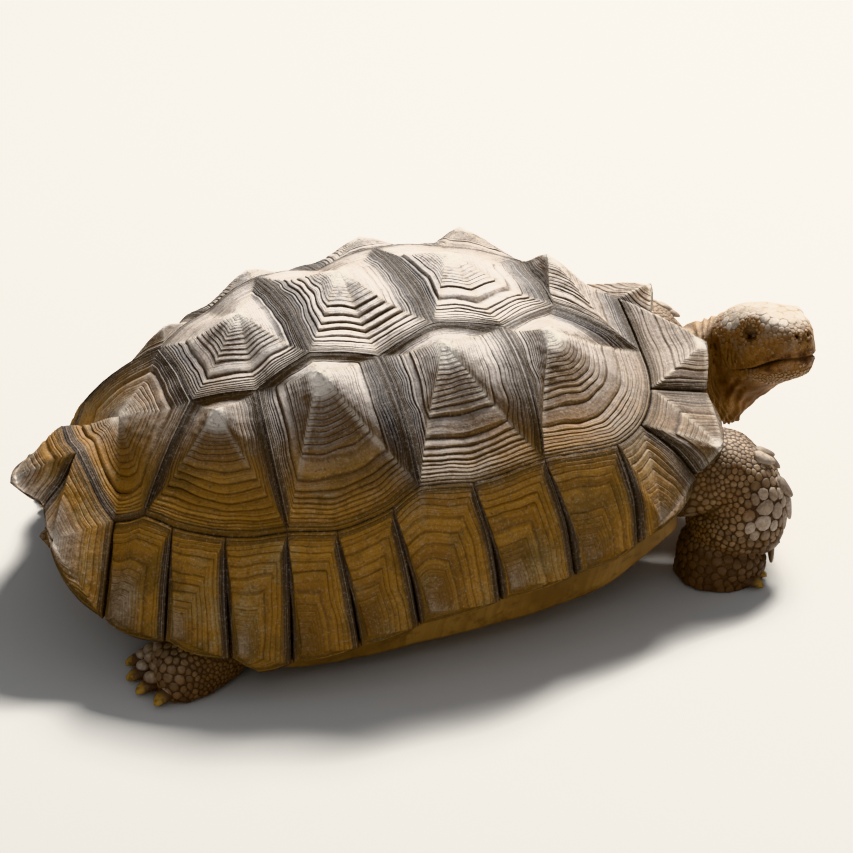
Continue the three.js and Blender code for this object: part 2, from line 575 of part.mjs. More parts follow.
// The left foreleg reaches further forward than the right
const strideStations = FORELEG_STATIONS.map(([x, ...rest], i) => [x + STRIDE * Math.min(1, i / 3), ...rest]);
const strideToes = foreToes.map((toe) => toe.translate([STRIDE, 0, 0]));
const cutters = [trunkCut, trunkCut.mirror([0, 1, 0]), plastronCut];
const foreleg = leg(FORELEG_STATIONS, RIGHT, foreToes, cutters);
const stride = leg(strideStations, RIGHT, strideToes, cutters);
const hindleg = leg(HINDLEG_STATIONS, vec(-0.35, 0, 1), hindToes, cutters);
add('foreleg_right', fromManifold(foreleg), COLOUR.skin);
add('foreleg_left', fromManifold(stride.mirror([0, 1, 0])), COLOUR.skin);
add('hindleg_right', fromManifold(hindleg), COLOUR.skin);
add('hindleg_left', fromManifold(hindleg.mirror([0, 1, 0])), COLOUR.skin);

export default tortoise;
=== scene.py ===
"""Sulcata tortoise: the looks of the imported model, piece by piece, in the order it is put together.

Lengths in the sections are millimetres in the animal's own frame (+X to the head, +Y to its left, +Z up),
and every mesh is written in metres.
"""

import math

import bmesh
import bpy
import numpy as np
from mathutils import Matrix


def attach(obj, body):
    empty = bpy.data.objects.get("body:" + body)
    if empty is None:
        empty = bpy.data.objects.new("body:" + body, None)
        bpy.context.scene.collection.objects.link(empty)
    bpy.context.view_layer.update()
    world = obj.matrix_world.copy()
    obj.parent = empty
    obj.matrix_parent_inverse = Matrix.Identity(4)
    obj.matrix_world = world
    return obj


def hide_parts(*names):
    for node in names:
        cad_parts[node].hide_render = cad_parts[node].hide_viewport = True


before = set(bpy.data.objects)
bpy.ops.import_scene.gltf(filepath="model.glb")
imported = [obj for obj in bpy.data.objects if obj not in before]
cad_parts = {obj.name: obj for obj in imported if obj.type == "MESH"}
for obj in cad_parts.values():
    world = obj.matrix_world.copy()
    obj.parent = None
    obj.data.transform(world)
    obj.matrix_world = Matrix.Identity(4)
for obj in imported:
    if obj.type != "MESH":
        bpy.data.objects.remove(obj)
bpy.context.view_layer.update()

# ---------------------------------------------------------------- camera, floor and light
# A long lens from the tortoise's right, behind and above, and a pale studio floor that runs out of sight.
# One big soft light stands for a high sun from behind its left; a wide fill lights the flank.
MM = 0.001
AIM = np.array([0.0, 0.0, 0.150])
AZIMUTH, ELEVATION, ROLL = np.radians([-18.1, 28.5, -0.6])
DISTANCE = 3.056
LENS = 134.0
FRAMING = (0.0939, -0.01665)


def unit(v):
    """Each vector over its own length."""
    return v / np.linalg.norm(v, axis=-1, keepdims=True)


def aim(thing, back, right, up, location):
    """Sets an object that looks along -back, from its three axes and its place."""
    rows = np.eye(4)
    rows[:3, :3] = np.column_stack([right, up, back])
    rows[:3, 3] = location
    thing.matrix_world = Matrix(rows.tolist())


flat = np.array([math.cos(AZIMUTH), math.sin(AZIMUTH), 0.0])
back = np.array([math.sin(AZIMUTH) * math.cos(ELEVATION), -math.cos(AZIMUTH) * math.cos(ELEVATION),
                 math.sin(ELEVATION)])
level = np.cross(back, flat)
lens = bpy.data.cameras.new("camera")
lens.lens = LENS
lens.sensor_width = 36.0
lens.shift_x, lens.shift_y = FRAMING
camera = bpy.data.objects.new("camera", lens)
bpy.context.collection.objects.link(camera)
aim(camera, back, flat * math.cos(ROLL) + level * math.sin(ROLL),
    level * math.cos(ROLL) - flat * math.sin(ROLL), AIM + back * DISTANCE)
bpy.context.scene.camera = camera


def softbox(name, towards, distance, size, watts, colour):
    """Square area light at a distance from the aim point in a direction, facing it."""
    data = bpy.data.lights.new(name, "AREA")
    data.size = size
    data.energy = watts
    data.color = colour
    light = bpy.data.objects.new(name, data)
    bpy.context.collection.objects.link(light)
    axis = unit(np.array(towards, float))
    side = unit(np.cross([0.0, 0.0, 1.0], axis))
    aim(light, axis, side, np.cross(axis, side), AIM + axis * distance)


softbox("key", (0.46, 0.46, 0.76), 3.2, 0.8, 240.0, (1.0, 0.96, 0.90))
softbox("fill", (-0.45, -0.80, 0.45), 4.0, 3.0, 26.0, (1.0, 0.97, 0.94))
world = bpy.data.worlds.new("studio")
world.use_nodes = True
world.node_tree.nodes["Background"].inputs["Color"].default_value = (0.93, 0.95, 1.0, 1.0)
world.node_tree.nodes["Background"].inputs["Strength"].default_value = 0.30
bpy.context.scene.world = world
bpy.context.scene.view_settings.view_transform = "Khronos PBR Neutral"


class Shade:
    """An output of a shader node. Its operators add Math nodes, so that a mask reads as a sum."""

    def __init__(self, tree, socket=None):
        self.tree = tree
        self.socket = socket

    def node(self, kind, settings, inputs, output=0):
        """New node of a kind: its settings first, then a value or a link for each socket named."""
        made = self.tree.nodes.new(kind)
        for name, value in settings.items():
            setattr(made, name, value)
        for key, value in inputs.items():
            if isinstance(value, Shade):
                self.tree.links.new(value.socket, made.inputs[key])
            else:
                made.inputs[key].default_value = value
        return Shade(self.tree, made.outputs[output])

    def math(self, operation, *values):
        """Number worked out from one, two or three others."""
        return self.node("ShaderNodeMath", {"operation": operation}, dict(enumerate(values)))

    def __add__(self, other):
        return self.math("ADD", self, other)

    def __sub__(self, other):
        return self.math("SUBTRACT", self, other)

    def __rsub__(self, other):
        return self.math("SUBTRACT", other, self)

    def __mul__(self, other):
        return self.math("MULTIPLY", self, other)

    __radd__ = __add__
    __rmul__ = __mul__

    def blend(self, first, second):
        """Number that goes from the first to the second as this goes from 0 to 1."""
        return first + (second - first) * self

    def between(self, low, high):
        """0 at low and 1 at high, eased at both ends; low may be the larger."""
        return self.node("ShaderNodeMapRange", {"interpolation_type": "SMOOTHSTEP"},
                         {0: self, 1: low, 2: high, 3: 0.0, 4: 1.0})

    def read(self, name):
        """A value stored on the mesh."""
        return self.node("ShaderNodeAttribute", {"attribute_name": name}, {}, 2)

    def place(self):
        """Position on the piece, in metres."""
        return self.node("ShaderNodeTexCoord", {}, {}, 3)

    def axis(self, number):
        """One coordinate of a position or a direction."""
        return self.node("ShaderNodeSeparateXYZ", {}, {0: self}, number)

    def upward(self):
        """Height part of the surface's direction: 1 where it faces the sky."""
        return self.node("ShaderNodeNewGeometry", {}, {}, 1).axis(2)

    def noise(self, where, scale, detail=4.0, rough=0.55):
        """Noise about 0.5 over a position."""
        return self.node("ShaderNodeTexNoise", {}, {"Vector": where, "Scale": scale, "Detail": detail,
                                                    "Roughness": rough})

    def streaks(self, along, scale, detail=2.0):
        """Noise about 0.5 over one number."""
        return self.node("ShaderNodeTexNoise", {"noise_dimensions": "1D"},
                         {"W": along, "Scale": scale, "Detail": detail})

    def cells(self, where, scale):
        """Distance inside irregular cells to their edges."""
        return self.node("ShaderNodeTexVoronoi", {"feature": "DISTANCE_TO_EDGE"},
                         {"Vector": where, "Scale": scale})

    def mix(self, share, first, second):
        """Colour between two others."""
        ends = {0: share, 6: first if isinstance(first, Shade) else (*first, 1.0),
                7: second if isinstance(second, Shade) else (*second, 1.0)}
        return self.node("ShaderNodeMix", {"data_type": "RGBA"}, ends, 2)

    def under(self, *coats):
        """This colour under coats of others, in order, each with the share of it that shows."""
        colour = self
        for share, coat in coats:
            colour = self.mix(share, colour, coat)
        return colour

    def bump(self, height, strength, distance):
        """Surface direction on a relief."""
        return self.node("ShaderNodeBump", {}, {"Height": height, "Strength": strength, "Distance": distance})

    def surface(self, colour, roughness, normal=None, **fixed):
        """Ends a material in a glossy-over-matt surface."""
        inputs = {"Base Color": colour if isinstance(colour, Shade) else (*colour, 1.0),
                  "Roughness": roughness}
        inputs.update({name.replace("_", " "): value for name, value in fixed.items()})
        if normal is not None:
            inputs["Normal"] = normal
        shader = self.node("ShaderNodeBsdfPrincipled", {}, inputs)
        end = self.tree.nodes.new("ShaderNodeOutputMaterial")
        self.tree.links.new(shader.socket, end.inputs["Surface"])


def material(name):
    """Empty node material and the shade that its nodes are made from."""
    made = bpy.data.materials.new(name)
    made.use_nodes = True
    made.node_tree.nodes.clear()
    return made, Shade(made.node_tree)


studio_floor, at = material("studio_floor")
at.surface((0.62, 0.61, 0.585), 0.9)
bpy.ops.mesh.primitive_plane_add(size=14.0)
ground = bpy.context.object
ground.name = "ground"
ground.data.materials.append(studio_floor)

# ---------------------------------------------------------------- horny plates of the shell
# Each scute is horn over bone. It grew outwards from its areola, one raised ring a season, so its rings keep
# the outline of the plate. The sun has bleached the tops, and they are painted paler still as sunlight; flanks
# that face away from the sky are painted darker as shade. Dirt and painted shade lie in the grooves, dirt in
# the valleys.
# Like most pieces, a plate is a grid of points, worked out whole and closed with a pole at either end.


def dots(first, second):
    """Scalar products of vectors, pair by pair."""
    return np.einsum("...i,...i->...", first, second)


def grid_faces(rows, columns, start=0):
    """Quads between neighbouring rows of a grid whose columns close on themselves."""
    r, c = np.meshgrid(np.arange(rows - 1), np.arange(columns), indexing="ij")
    first = start + r * columns + c
    second = start + r * columns + (c + 1) % columns
    return np.stack([first, second, second + columns, first + columns], -1).reshape(-1, 4)


def fan_faces(hub, ring):
    """Triangles from a hub to a closed ring of vertices."""
    return np.stack([np.full(len(ring), hub), ring, np.roll(ring, -1)], -1)


def capped(grid, first=None, last=None):
    """Points, quads and triangles of a closed tube: a grid of rows x columns and a pole at either end."""
    rows, columns = grid.shape[:2]
    first = grid[0].mean(0) if first is None else first
    last = grid[-1].mean(0) if last is None else last
    points = np.vstack([grid.reshape(-1, 3), first, last])
    count = rows * columns
    tris = np.vstack([fan_faces(count, np.arange(columns)[::-1]),
                      fan_faces(count + 1, np.arange(count - columns, count))])
    return points, grid_faces(rows, columns), tris


def outwards(points, quads, tris):
    """The faces turned so that the enclosed volume is positive."""
    halves = np.vstack([quads[:, [0, 1, 2]], quads[:, [0, 2, 3]], tris])
    a, b, c = (points[halves[:, i]] - points.mean(0) for i in range(3))
    if dots(a, np.cross(b, c)).sum() < 0:
        return quads[:, ::-1], tris[:, ::-1]
    return quads, tris


def merged(node):
    """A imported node's shape with its loose triangles joined."""
    solid = bmesh.new()
    solid.from_mesh(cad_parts[node].data)
    bmesh.ops.remove_doubles(solid, verts=solid.verts, dist=1e-6)
    solid.verts.index_update()
    return solid


def points_of(vertices):
    """Places of a mesh's vertices, in millimetres."""
    return np.array([v.co[:] for v in vertices]) / MM


class Part:
    """Closed body of a piece: points in millimetres, faces, and values for its material."""

    def __init__(self, shape, values=None, uv=None):
        self.points, quads, tris = shape
        self.quads, self.tris = outwards(self.points, quads, tris)
        self.values = values or {}
        self.uv = uv


def piece(name, parts, finish, nodes):
    """Makes one piece of several bodies, hangs it on the root body, and hides the imported nodes it stands for.
    """
    starts = np.cumsum([0] + [len(part.points) for part in parts])
    points = np.vstack([part.points for part in parts]) * MM
    quads = np.vstack([part.quads + start for part, start in zip(parts, starts)])
    tris = np.vstack([part.tris + start for part, start in zip(parts, starts)])
    loops = np.concatenate([quads.ravel(), tris.ravel()]).astype(np.int32)
    begins = np.concatenate([np.arange(len(quads)) * 4, len(quads) * 4 + np.arange(len(tris)) * 3])
    mesh = bpy.data.meshes.new(name)
    mesh.vertices.add(len(points))
    mesh.vertices.foreach_set("co", points.astype(np.float32).ravel())
    mesh.loops.add(len(loops))
    mesh.loops.foreach_set("vertex_index", loops)
    mesh.polygons.add(len(begins))
    mesh.polygons.foreach_set("loop_start", begins.astype(np.int32))
    mesh.update(calc_edges=True)
    mesh.polygons.foreach_set("use_smooth", np.full(len(begins), True))
    for key in parts[0].values:
        stored = mesh.attributes.new(key, "FLOAT", "POINT")
        stored.data.foreach_set("value", np.concatenate([p.values[key] for p in parts]).astype(np.float32))
    if parts[0].uv is not None:
        layer = mesh.uv_layers.new(name="OFBake")
        layer.data.foreach_set("uv", np.vstack([p.uv for p in parts])[loops].astype(np.float32).ravel())
    mesh.materials.append(finish)
    made = bpy.data.objects.new(name, mesh)
    bpy.context.collection.objects.link(made)
    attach(made, "root")
    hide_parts(*nodes)


def ease(low, high, x):
    """0 at low and 1 at high with level ends; low may be the larger."""
    t = np.clip((x - low) / (high - low), 0, 1)
    return t * t * (3 - 2 * t)


def bell(x, width):
    """Smooth bump: 1 at nothing, fading over a width."""
    return np.exp(-((x / width) ** 2))


ANY_PHASE = (0, 6.28)            # range of random turns


def ripple(points, wavelength, seed, octaves=3):
    """Smooth noise about -1 to 1: sine waves in eight random directions, then the same at half the size."""
    draw = np.random.default_rng(seed)
    total = 0.0
    for octave in range(octaves):
        waves = unit(draw.normal(size=(8, points.shape[-1]))) * (2 * math.pi * 2**octave / wavelength)
        total = total + 0.5**octave * np.sin(points @ waves.T + draw.uniform(*ANY_PHASE, 8)).sum(-1) / 4
    return total


SHELL_CENTRE = -8.0
SPINE = (80.0, 0.55)
OUTLINE_STEP = 4.0
ROWS_ACROSS = (0.0, 0.05, 0.16, 0.40, 0.66, 0.83, 0.92)      # of each ring, closer at its groove
WAVER = 1.7
TOP_DROP, TOP_REACH = 3.0, 0.15
FLANK = 5.38                     # brings the top of reach^1.5 * (1 - reach) to 1
CORNER_TURN = math.radians(27)
WALL_ROWS, HORN_DEPTH = (3.0, 7.0), 12.0


def outward_of(points):
    """Directions from the shell's inner line, which plates thicken towards."""
    core = np.zeros_like(points)
    core[..., 0] = SHELL_CENTRE + SPINE[1] * (points[..., 0] - SHELL_CENTRE)
    core[..., 2] = SPINE[0]
    return unit(points - core)


def plate_outline(node):
    """Areola and seam of a packed plate: its vertices are sorted by the number of edges from the outer hub,
    and the third ring from the last of these is walked round."""
    solid = merged(node)
    hubs = sorted(solid.verts, key=lambda v: len(v.link_edges))[-2:]
    heart = np.array([SHELL_CENTRE, 0.0, SPINE[0]]) * MM
    hub = max(hubs, key=lambda v: np.linalg.norm(np.array(v.co) - heart))
    levels = [{hub}]
    seen = {hub}
    while levels[-1]:
        levels.append({e.other_vert(v) for v in levels[-1] for e in v.link_edges} - seen)
        seen |= levels[-1]
    seam = levels[-4]
    walk = [min(seam, key=lambda v: v.index)]
    while len(walk) < len(seam):
        near = [e.other_vert(walk[-1]) for e in walk[-1].link_edges]
        walk.append(min((v for v in near if v in seam and v not in walk), key=lambda v: v.index))
    areola = np.array(hub.co) / MM
    loop = points_of(walk)
    solid.free()
    return areola, loop


def even_outline(loop, step):
    """Points about a step apart on smooth curves through a closed loop, which keep its sharp corners, and how
    far each is from the nearest corner."""
    after = np.roll(loop, -1, 0) - loop
    before = np.roll(after, 1, 0)
    turn = np.arccos(np.clip(dots(unit(after), unit(before)), -1, 1))
    bent = (turn > CORNER_TURN)[:, None]
    leave = np.where(bent, after, (after + before) / 2)
    arrive = np.roll(np.where(bent, before, (after + before) / 2), -1, 0)
    points = []
    for p, v, m0, m1 in zip(loop, after, leave, arrive):
        count = max(2, round(np.linalg.norm(v) / step))
        t = (np.arange(count) / count)[:, None]
        points.append(p + (3 * t**2 - 2 * t**3) * v + (t**3 - 2 * t**2 + t) * m0 + (t**3 - t**2) * m1)
    points = np.vstack(points)
    corners = loop[bent[:, 0]]
    return points, np.linalg.norm(points[:, None] - corners, axis=-1).min(1)


def normals_of(grid, towards):
    """Unit normals of a grid closed round its columns, on the side of the given directions."""
    around = np.roll(grid, -1, 1) - np.roll(grid, 1, 1)
    normal = unit(np.cross(np.gradient(grid, axis=0), around) + 1e-12)
    side = np.sign(dots(normal, towards))[..., None]
    return normal * np.where(side == 0, 1, side)


def scute(node, belly, rings, step_height, seed):
    """A plate as a cone of rings from areola to seam: fine ones first, wide ones two thirds of the way out,
    fine again at the seam, growth = rings * (reach + 0.55 * sin(2 pi reach^1.4) / 2 pi), and a slow wave of
    a third of a ring. Each is a terrace that rises from one groove as within^0.4 and drops into the next.
    The flanks are hollowed, or swell, by belly * reach^1.5 * (1 - reach) over that curve's top, and the tip
    is rounded by a small bell."""
    areola, loop = plate_outline(node)
    rim, to_corner = even_outline(loop, OUTLINE_STEP)
    draw = np.random.default_rng(seed)
    fine = np.linspace(0, 1, 4001)
    grown = rings * (fine + 0.55 * np.sin(2 * math.pi * fine**1.4) / (2 * math.pi))
    grown = grown + 1.3 * fine * (1 - fine) * np.sin(2 * math.pi * 2.6 * fine + draw.uniform(*ANY_PHASE))
    counted = (np.arange(rings)[:, None] + np.array(ROWS_ACROSS)).ravel()[1:]
    counted = np.append(counted, rings)
    reach = np.interp(counted, grown, fine)[:, None]
    tangent = unit(np.roll(rim, -1, 0) - np.roll(rim, 1, 0))
    height = np.linalg.norm(np.cross(rim - areola, tangent), axis=-1)
    straight = areola + (rim - areola) * reach[..., None]
    waver = WAVER * ripple(straight, 55.0, seed, 2) / height
    reach = np.clip(reach + waver * ease(0.05, 0.35, reach) * ease(1.0, 0.85, reach), 0, 1)
    cone = areola + (rim - areola) * reach[..., None]
    out = outward_of(cone)
    bulge = FLANK * belly * reach**1.5 * (1 - reach) - TOP_DROP * bell(reach, TOP_REACH)
    cone = cone + out * bulge[..., None]
    depth = (1 - reach) * height
    growth = np.broadcast_to(counted[:, None], depth.shape)
    within = growth - np.floor(growth)
    relief = within**0.4 * (1 - ease(0.82, 1.0, within))
    ring_width = height / np.maximum(np.interp(growth, grown[1:], np.diff(grown) / np.diff(fine)), 1.0)
    tall = draw.uniform(0.55, 1.3, rings + 1)[np.floor(growth).astype(int)]
    tall = tall * step_height * (0.3 + 0.7 * ease(0.12, 0.75, reach)) * np.clip(ring_width / 7.0, 0.15, 1.25)
    lift = tall * (relief - 1) * (1 + 0.35 * ripple(cone, 60.0, seed + 1, 2)) * ease(0.02, 0.1, reach)
    lift = lift + 0.25 * ripple(cone, 13.0, seed + 2, 3)
    # The seam is a narrow groove at the bottom of a wide one
    lift = lift - 1.1 * bell(depth, 1.6) - 0.6 * bell(depth, 6.0)
    normal = normals_of(cone, out)
    top = cone + normal * lift[..., None]
    wall = np.stack([top[-1] - out[-1] * depth_in for depth_in in WALL_ROWS])
    inner = areola - outward_of(areola) * HORN_DEPTH
    under = wall[-1] + (inner - wall[-1]) * np.array([0.3, 0.65])[:, None, None]
    grid = np.concatenate([top, wall, under])
    peak = areola - outward_of(areola) * TOP_DROP
    extra = len(grid) - len(top)

    def spread(values, pole):
        """A value at every point: the rows under the rim take the rim's, the peak its own."""
        full = np.broadcast_to(values, top.shape[:2])
        tail = np.repeat(full[-1:], extra, 0)
        return np.concatenate([full.ravel(), tail.ravel(), [pole, full[-1, 0]]])

    # Valleys lie along the seams that run down the shell, from the spine to the rim
    circle = unit(np.stack([-cone[-1, :, 1], cone[-1, :, 0] - SHELL_CENTRE], -1))
    if node.startswith("vertebral"):
        valley = 1 - np.abs(tangent[:, 0])
    else:
        valley = 1 - np.abs((tangent[:, :2] * circle).sum(-1))
    smooth_valley = sum(np.roll(valley, k) for k in range(-3, 4)) / 7
    hollow = smooth_valley * ease(0.3, 0.85, reach)
    values = {"growth": spread(growth + seed, seed), "reach": spread(reach, 0.0),
              "depth": spread(depth, 60.0), "hollow": spread(hollow, 0.0),
              "ridge": spread(to_corner * reach, 0.0)}
    return Part(capped(grid, peak, inner), values)


horn, at = material("horn")
growth, reach, depth = at.read("growth"), at.read("reach"), at.read("depth")
hollow, ridge = at.read("hollow"), at.read("ridge")
where = at.place()
forward, high = where.axis(0), where.axis(2)
within = at.math("FRACT", growth)
cloud = at.noise(where, 8.0, 5.0)
mould = at.noise(where, 11.0, 6.0, 0.62)
blotch = at.noise(where, 16.0, 6.0, 0.68)
stain = at.noise(where, 27.0, 5.0, 0.7)
patch = at.noise(where, 34.0, 4.0, 0.6)
grain = at.noise(where, 160.0, 4.0, 0.65)
dust = at.noise(where, 420.0, 3.0, 0.7)
season = at.streaks(growth - within, 0.83, 1.0)
hairline = at.streaks(growth + (blotch - 0.5) * 0.9, 5.0, 3.0)
sky = at.upward()
# The horn is amber low on the flanks, tan higher up and grey on top; both ends count as higher
drift = (cloud - 0.5) * 0.10
ends = forward.between(0.225, 0.285) + forward.between(-0.29, -0.33)
low = (high + drift).between(0.245, 0.150) * (1 - ends * 0.75)
mid = (high + drift).between(0.36, 0.235)
pale = at.mix(mid, (0.50, 0.435, 0.395), (0.31, 0.222, 0.142)).under((low, (0.43, 0.225, 0.050)))
brown = at.mix(mid, (0.175, 0.128, 0.115), (0.135, 0.083, 0.048)).under((low, (0.215, 0.100, 0.020)))
contrast = low.blend(1.0, 0.55)
ringed = within.between(0.0, 0.8) * 0.5 * contrast + (season - 0.5) * 1.9 * contrast + 0.25
# Painted shade: how far a facet faces away from the sky
shaded = sky.between(0.80, 0.30)
# Paler on tops that face up: partly sun-bleached horn, partly painted sunlight
bleached_and_lit = sky.between(0.52, 0.92) * cloud.between(0.25, 0.55) * high.between(0.15, 0.26).blend(0.3, 1.05)
rear = forward.between(-0.215, -0.270)
cap = reach.between(0.23, 0.09) * sky.between(-0.1, 0.5) * (1 - low)
# Ring grooves: darkened for dirt and for painted shade in the recess
groove = (within.between(0.12, 0.0) + within.between(0.85, 0.97)) * reach.between(0.03, 0.2)
groove = groove * (1 - cap) * (patch * 0.9 + 0.45) * (1 - bleached_and_lit * 0.45) * low.blend(1.0, 0.5)
streaked = at.mix(at.streaks(growth, 3.1, 3.0).between(0.46, 0.64),
                  (0.016, 0.015, 0.022), (0.33, 0.30, 0.275))
at_seam = low.blend(depth.between(33.0, 13.0), depth.between(10.0, 4.0))
valley = (hollow * 1.6 - 0.22).between(0.0, 1.0) * at_seam * (cloud * 0.6 + 0.55)
margin = depth.between(10.0, 5.0) * at.streaks(depth, 0.62, 1.0).between(0.66, 0.42)
colour = at.mix(ringed, brown, pale).under(
    # Painted shade: darker brown towards the areola on facets that face away from the sky, and mottled there
    (shaded * reach.between(0.65, 0.2) * 0.75, (0.130, 0.066, 0.022)),
    (patch.between(0.50, 0.66) * shaded * 0.5, at.mix(mid, (0.22, 0.19, 0.185), (0.20, 0.13, 0.055))),
    (blotch.between(0.50, 0.66) * 0.55, at.mix(low, (0.37, 0.315, 0.265), (0.37, 0.285, 0.165))),
    (stain.between(0.52, 0.68) * 0.5, at.mix(low, (0.10, 0.070, 0.055), (0.105, 0.055, 0.014))),
    # Pale where the tops face up, sun-bleached horn with painted sunlight; a band of painted shade under it;
    # worn patches below and on the rear
    (bleached_and_lit * (1 - low) * 0.82, (0.78, 0.725, 0.685)),
    # Painted shade: darker across the middle height of the shell
    (high.between(0.275, 0.215) * (1 - low) * 0.42, (0.105, 0.072, 0.048)),
    (low * reach.between(0.32, 0.04) * cloud.between(0.35, 0.55) * 0.45, (0.42, 0.36, 0.29)),
    (rear * reach.between(0.62, 0.25) * low * 0.6, (0.46, 0.385, 0.32)),
    (low * mould.between(0.47, 0.36) * 0.55, (0.115, 0.072, 0.024)),
    # Edges between the flanks rubbed pale; grooves of the rings darker, for dirt and painted shade, and
    # hairlines darker
    (ridge.between(6.0, 1.0) * reach.between(0.05, 0.3) * (1 - low) * 0.6, (0.62, 0.54, 0.45)),
    (groove, (0.032, 0.018, 0.012)),
    (hairline.between(0.53, 0.36) * low.blend(0.5, 0.28), (0.085, 0.046, 0.022)),
    # Valleys streaked black and grey, white tips, dirt along the seam
    (valley, streaked),
    (cap * 0.9, (0.80, 0.74, 0.66)),
    (margin * 0.7, (0.058, 0.036, 0.015)),
    (depth.between(2.2, 0.3) * (patch * 0.7 + 0.5), (0.020, 0.014, 0.010)),
    # Grain and dust over all
    (grain.between(0.54, 0.70) * 0.5, (0.075, 0.045, 0.025)),
    (dust.between(0.52, 0.70) * 0.30, (0.06, 0.040, 0.026)),
    (dust.between(0.48, 0.32) * 0.22, (0.62, 0.54, 0.45)))
fine = at.bump(hairline * 0.6 + grain * 0.8 + patch * 0.5 + stain * 0.4 + dust * 0.25, 0.75, 0.0014)
at.surface(colour, 0.60 + cloud * 0.22, fine)

for i in range(5):
    node = f"vertebral_{i + 1}"
    piece(f"horn_{node}", [scute(node, -6.0, 20, 2.6, 40 + 25 * i)], horn, [node])
for number, side in enumerate(("right", "left")):
    for i in range(4):
        node = f"costal_{side}_{i + 1}"
        piece(f"horn_{node}", [scute(node, -6.5, 24, 2.3, 200 + 150 * number + 30 * i)], horn, [node])
    for i in range(12):
        node = f"marginal_{side}_{i + 1}"
        piece(f"horn_{node}", [scute(node, 1.0, 16, 1.1, 500 + 300 * number + 25 * i)], horn, [node])
piece("horn_supracaudal", [scute("supracaudal", 3.0, 15, 1.5, 1200)], horn, ["supracaudal"])

# ---------------------------------------------------------------- skin
# One skin covers neck, head, legs and tail and runs in under the shell. It is a set of tubes whose sections
# are squared ovals along a path, with the folds, lids, lips and nostrils raised or sunk in them.
COAT = 1.6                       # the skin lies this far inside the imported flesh, and its scales stand on it
SQUARENESS = 2.2                 # of neck, legs and tail: 2 would be an ellipse
NECK = [[222, 0, 112, 62, 58], [262, -1, 114, 60, 58], [300, -2, 118, 54, 60], [332, -4, 123, 50, 55],
        [360, -8, 133, 45, 51]]
THROAT_POUCH = np.array([8.0, -4.0, -14.0])
TAIL = [[-228, 0, 100, 26, 24], [-256, 0, 92, 22, 20], [-284, -3, 80, 15, 14], [-304, -6, 68, 8, 8]]
FORELEG = [[214, -102, 80, 44, 42], [262, -120, 92, 48, 43], [306, -133, 102, 49, 43],
           [342, -148, 93, 47, 47], [344, -158, 64, 45, 47], [333, -162, 42, 42, 42],
           [327, -163, 22, 43, 43], [323, -164, -6, 41, 43]]
STRIDE = 36.0                    # how much further forward the left foreleg stands
HINDLEG = [[-168, -88, 72, 44, 42], [-144, -120, 62, 46, 42], [-154, -150, 47, 43, 36],
           [-188, -171, 28, 36, 37], [-222, -180, 17, 29, 42], [-248, -178, 14, 26, 38]]
HEAD_BASE = np.array([403.0, -15.0, 168.0])
HEAD_TURN, HEAD_TILT, HEAD_ROLL = np.radians([-74.0, 20.0, 6.5])
HEAD = [[6, 38, 36, 66, 2.1], [24, 40, 39, 57, 2.2], [46, 38, 39, 47, 2.4], [64, 35, 36, 41, 2.4],
        [80, 30, 31, 37, 2.4], [90, 25, 27, 34, 2.5], [97, 18, 20, 30, 2.5], [102, 9, 11, 23, 2.2]]
EYE_RADIUS = 8.6
EYE_CENTRE = np.array([60.8, 25.3, 12.2])                        # in the head's own axes
EYE_ALONG, _, EYE_UP = EYE_CENTRE
RIGHT = np.array([0.0, -1.0, 0.0])


def smooth(stations, t):
    """Values at each t on smooth curves through rows of (t, values): cubic pieces whose slopes are the mean
    of their neighbours'."""
    table = np.array(stations, float)
    knots, values = table[:, 0], table[:, 1:]
    before = np.maximum(np.arange(len(knots)) - 1, 0)
    after = np.minimum(np.arange(len(knots)) + 1, len(knots) - 1)
    slope = (values[after] - values[before]) / (knots[after] - knots[before])[:, None]
    i = np.clip(np.searchsorted(knots, t, side="right") - 1, 0, len(knots) - 2)
    h = (knots[i + 1] - knots[i])[:, None]
    u = np.clip((t - knots[i])[:, None] / h, 0, 1)
    return ((2 * u**3 - 3 * u**2 + 1) * values[i] + (u**3 - 2 * u**2 + u) * slope[i] * h
            + (3 * u**2 - 2 * u**3) * values[i + 1] + (u**3 - u**2) * slope[i + 1] * h)


def squared_ovals(centre, across, up, wide, crown, under, square, angles):
    """Rings of a squared oval: across times a power of the cosine, up times a power of the sine, with one
    half height above and another below."""
    c = np.sign(np.cos(angles)) * np.abs(np.cos(angles)) ** (2 / square)
    s = np.sign(np.sin(angles)) * np.abs(np.sin(angles)) ** (2 / square)
    rise = np.where(s > 0, crown * s, under * s)
    return centre[:, None] + across[:, None] * (wide * c)[..., None] + up[:, None] * rise[..., None]


def tube(stations, side, t, angles):
    """Rings along smooth stations of (x, y, z, half width, half height), their width along a fixed side."""
    rows = [[i, *row] for i, row in enumerate(stations)]
    value = smooth(rows, t)
    last = len(stations) - 1
    ahead = smooth(rows, np.minimum(t + 0.05, last))[:, :3] - smooth(rows, np.maximum(t - 0.05, 0))[:, :3]
    along = unit(ahead)
    up = unit(np.cross(side, along))
    across = np.cross(along, up)
    wide, tall = value[:, 3:4] - COAT, value[:, 4:5] - COAT
    return squared_ovals(value[:, :3], across, up, wide, tall, tall, SQUARENESS, angles)


def even_angles(count):
    """Angles of a count of points evenly round a circle."""
    return np.arange(count) * 2 * math.pi / count


def from_axis(grid):
    """Directions of a tube's points away from the middle of each ring."""
    return unit(grid - grid.mean(1, keepdims=True))


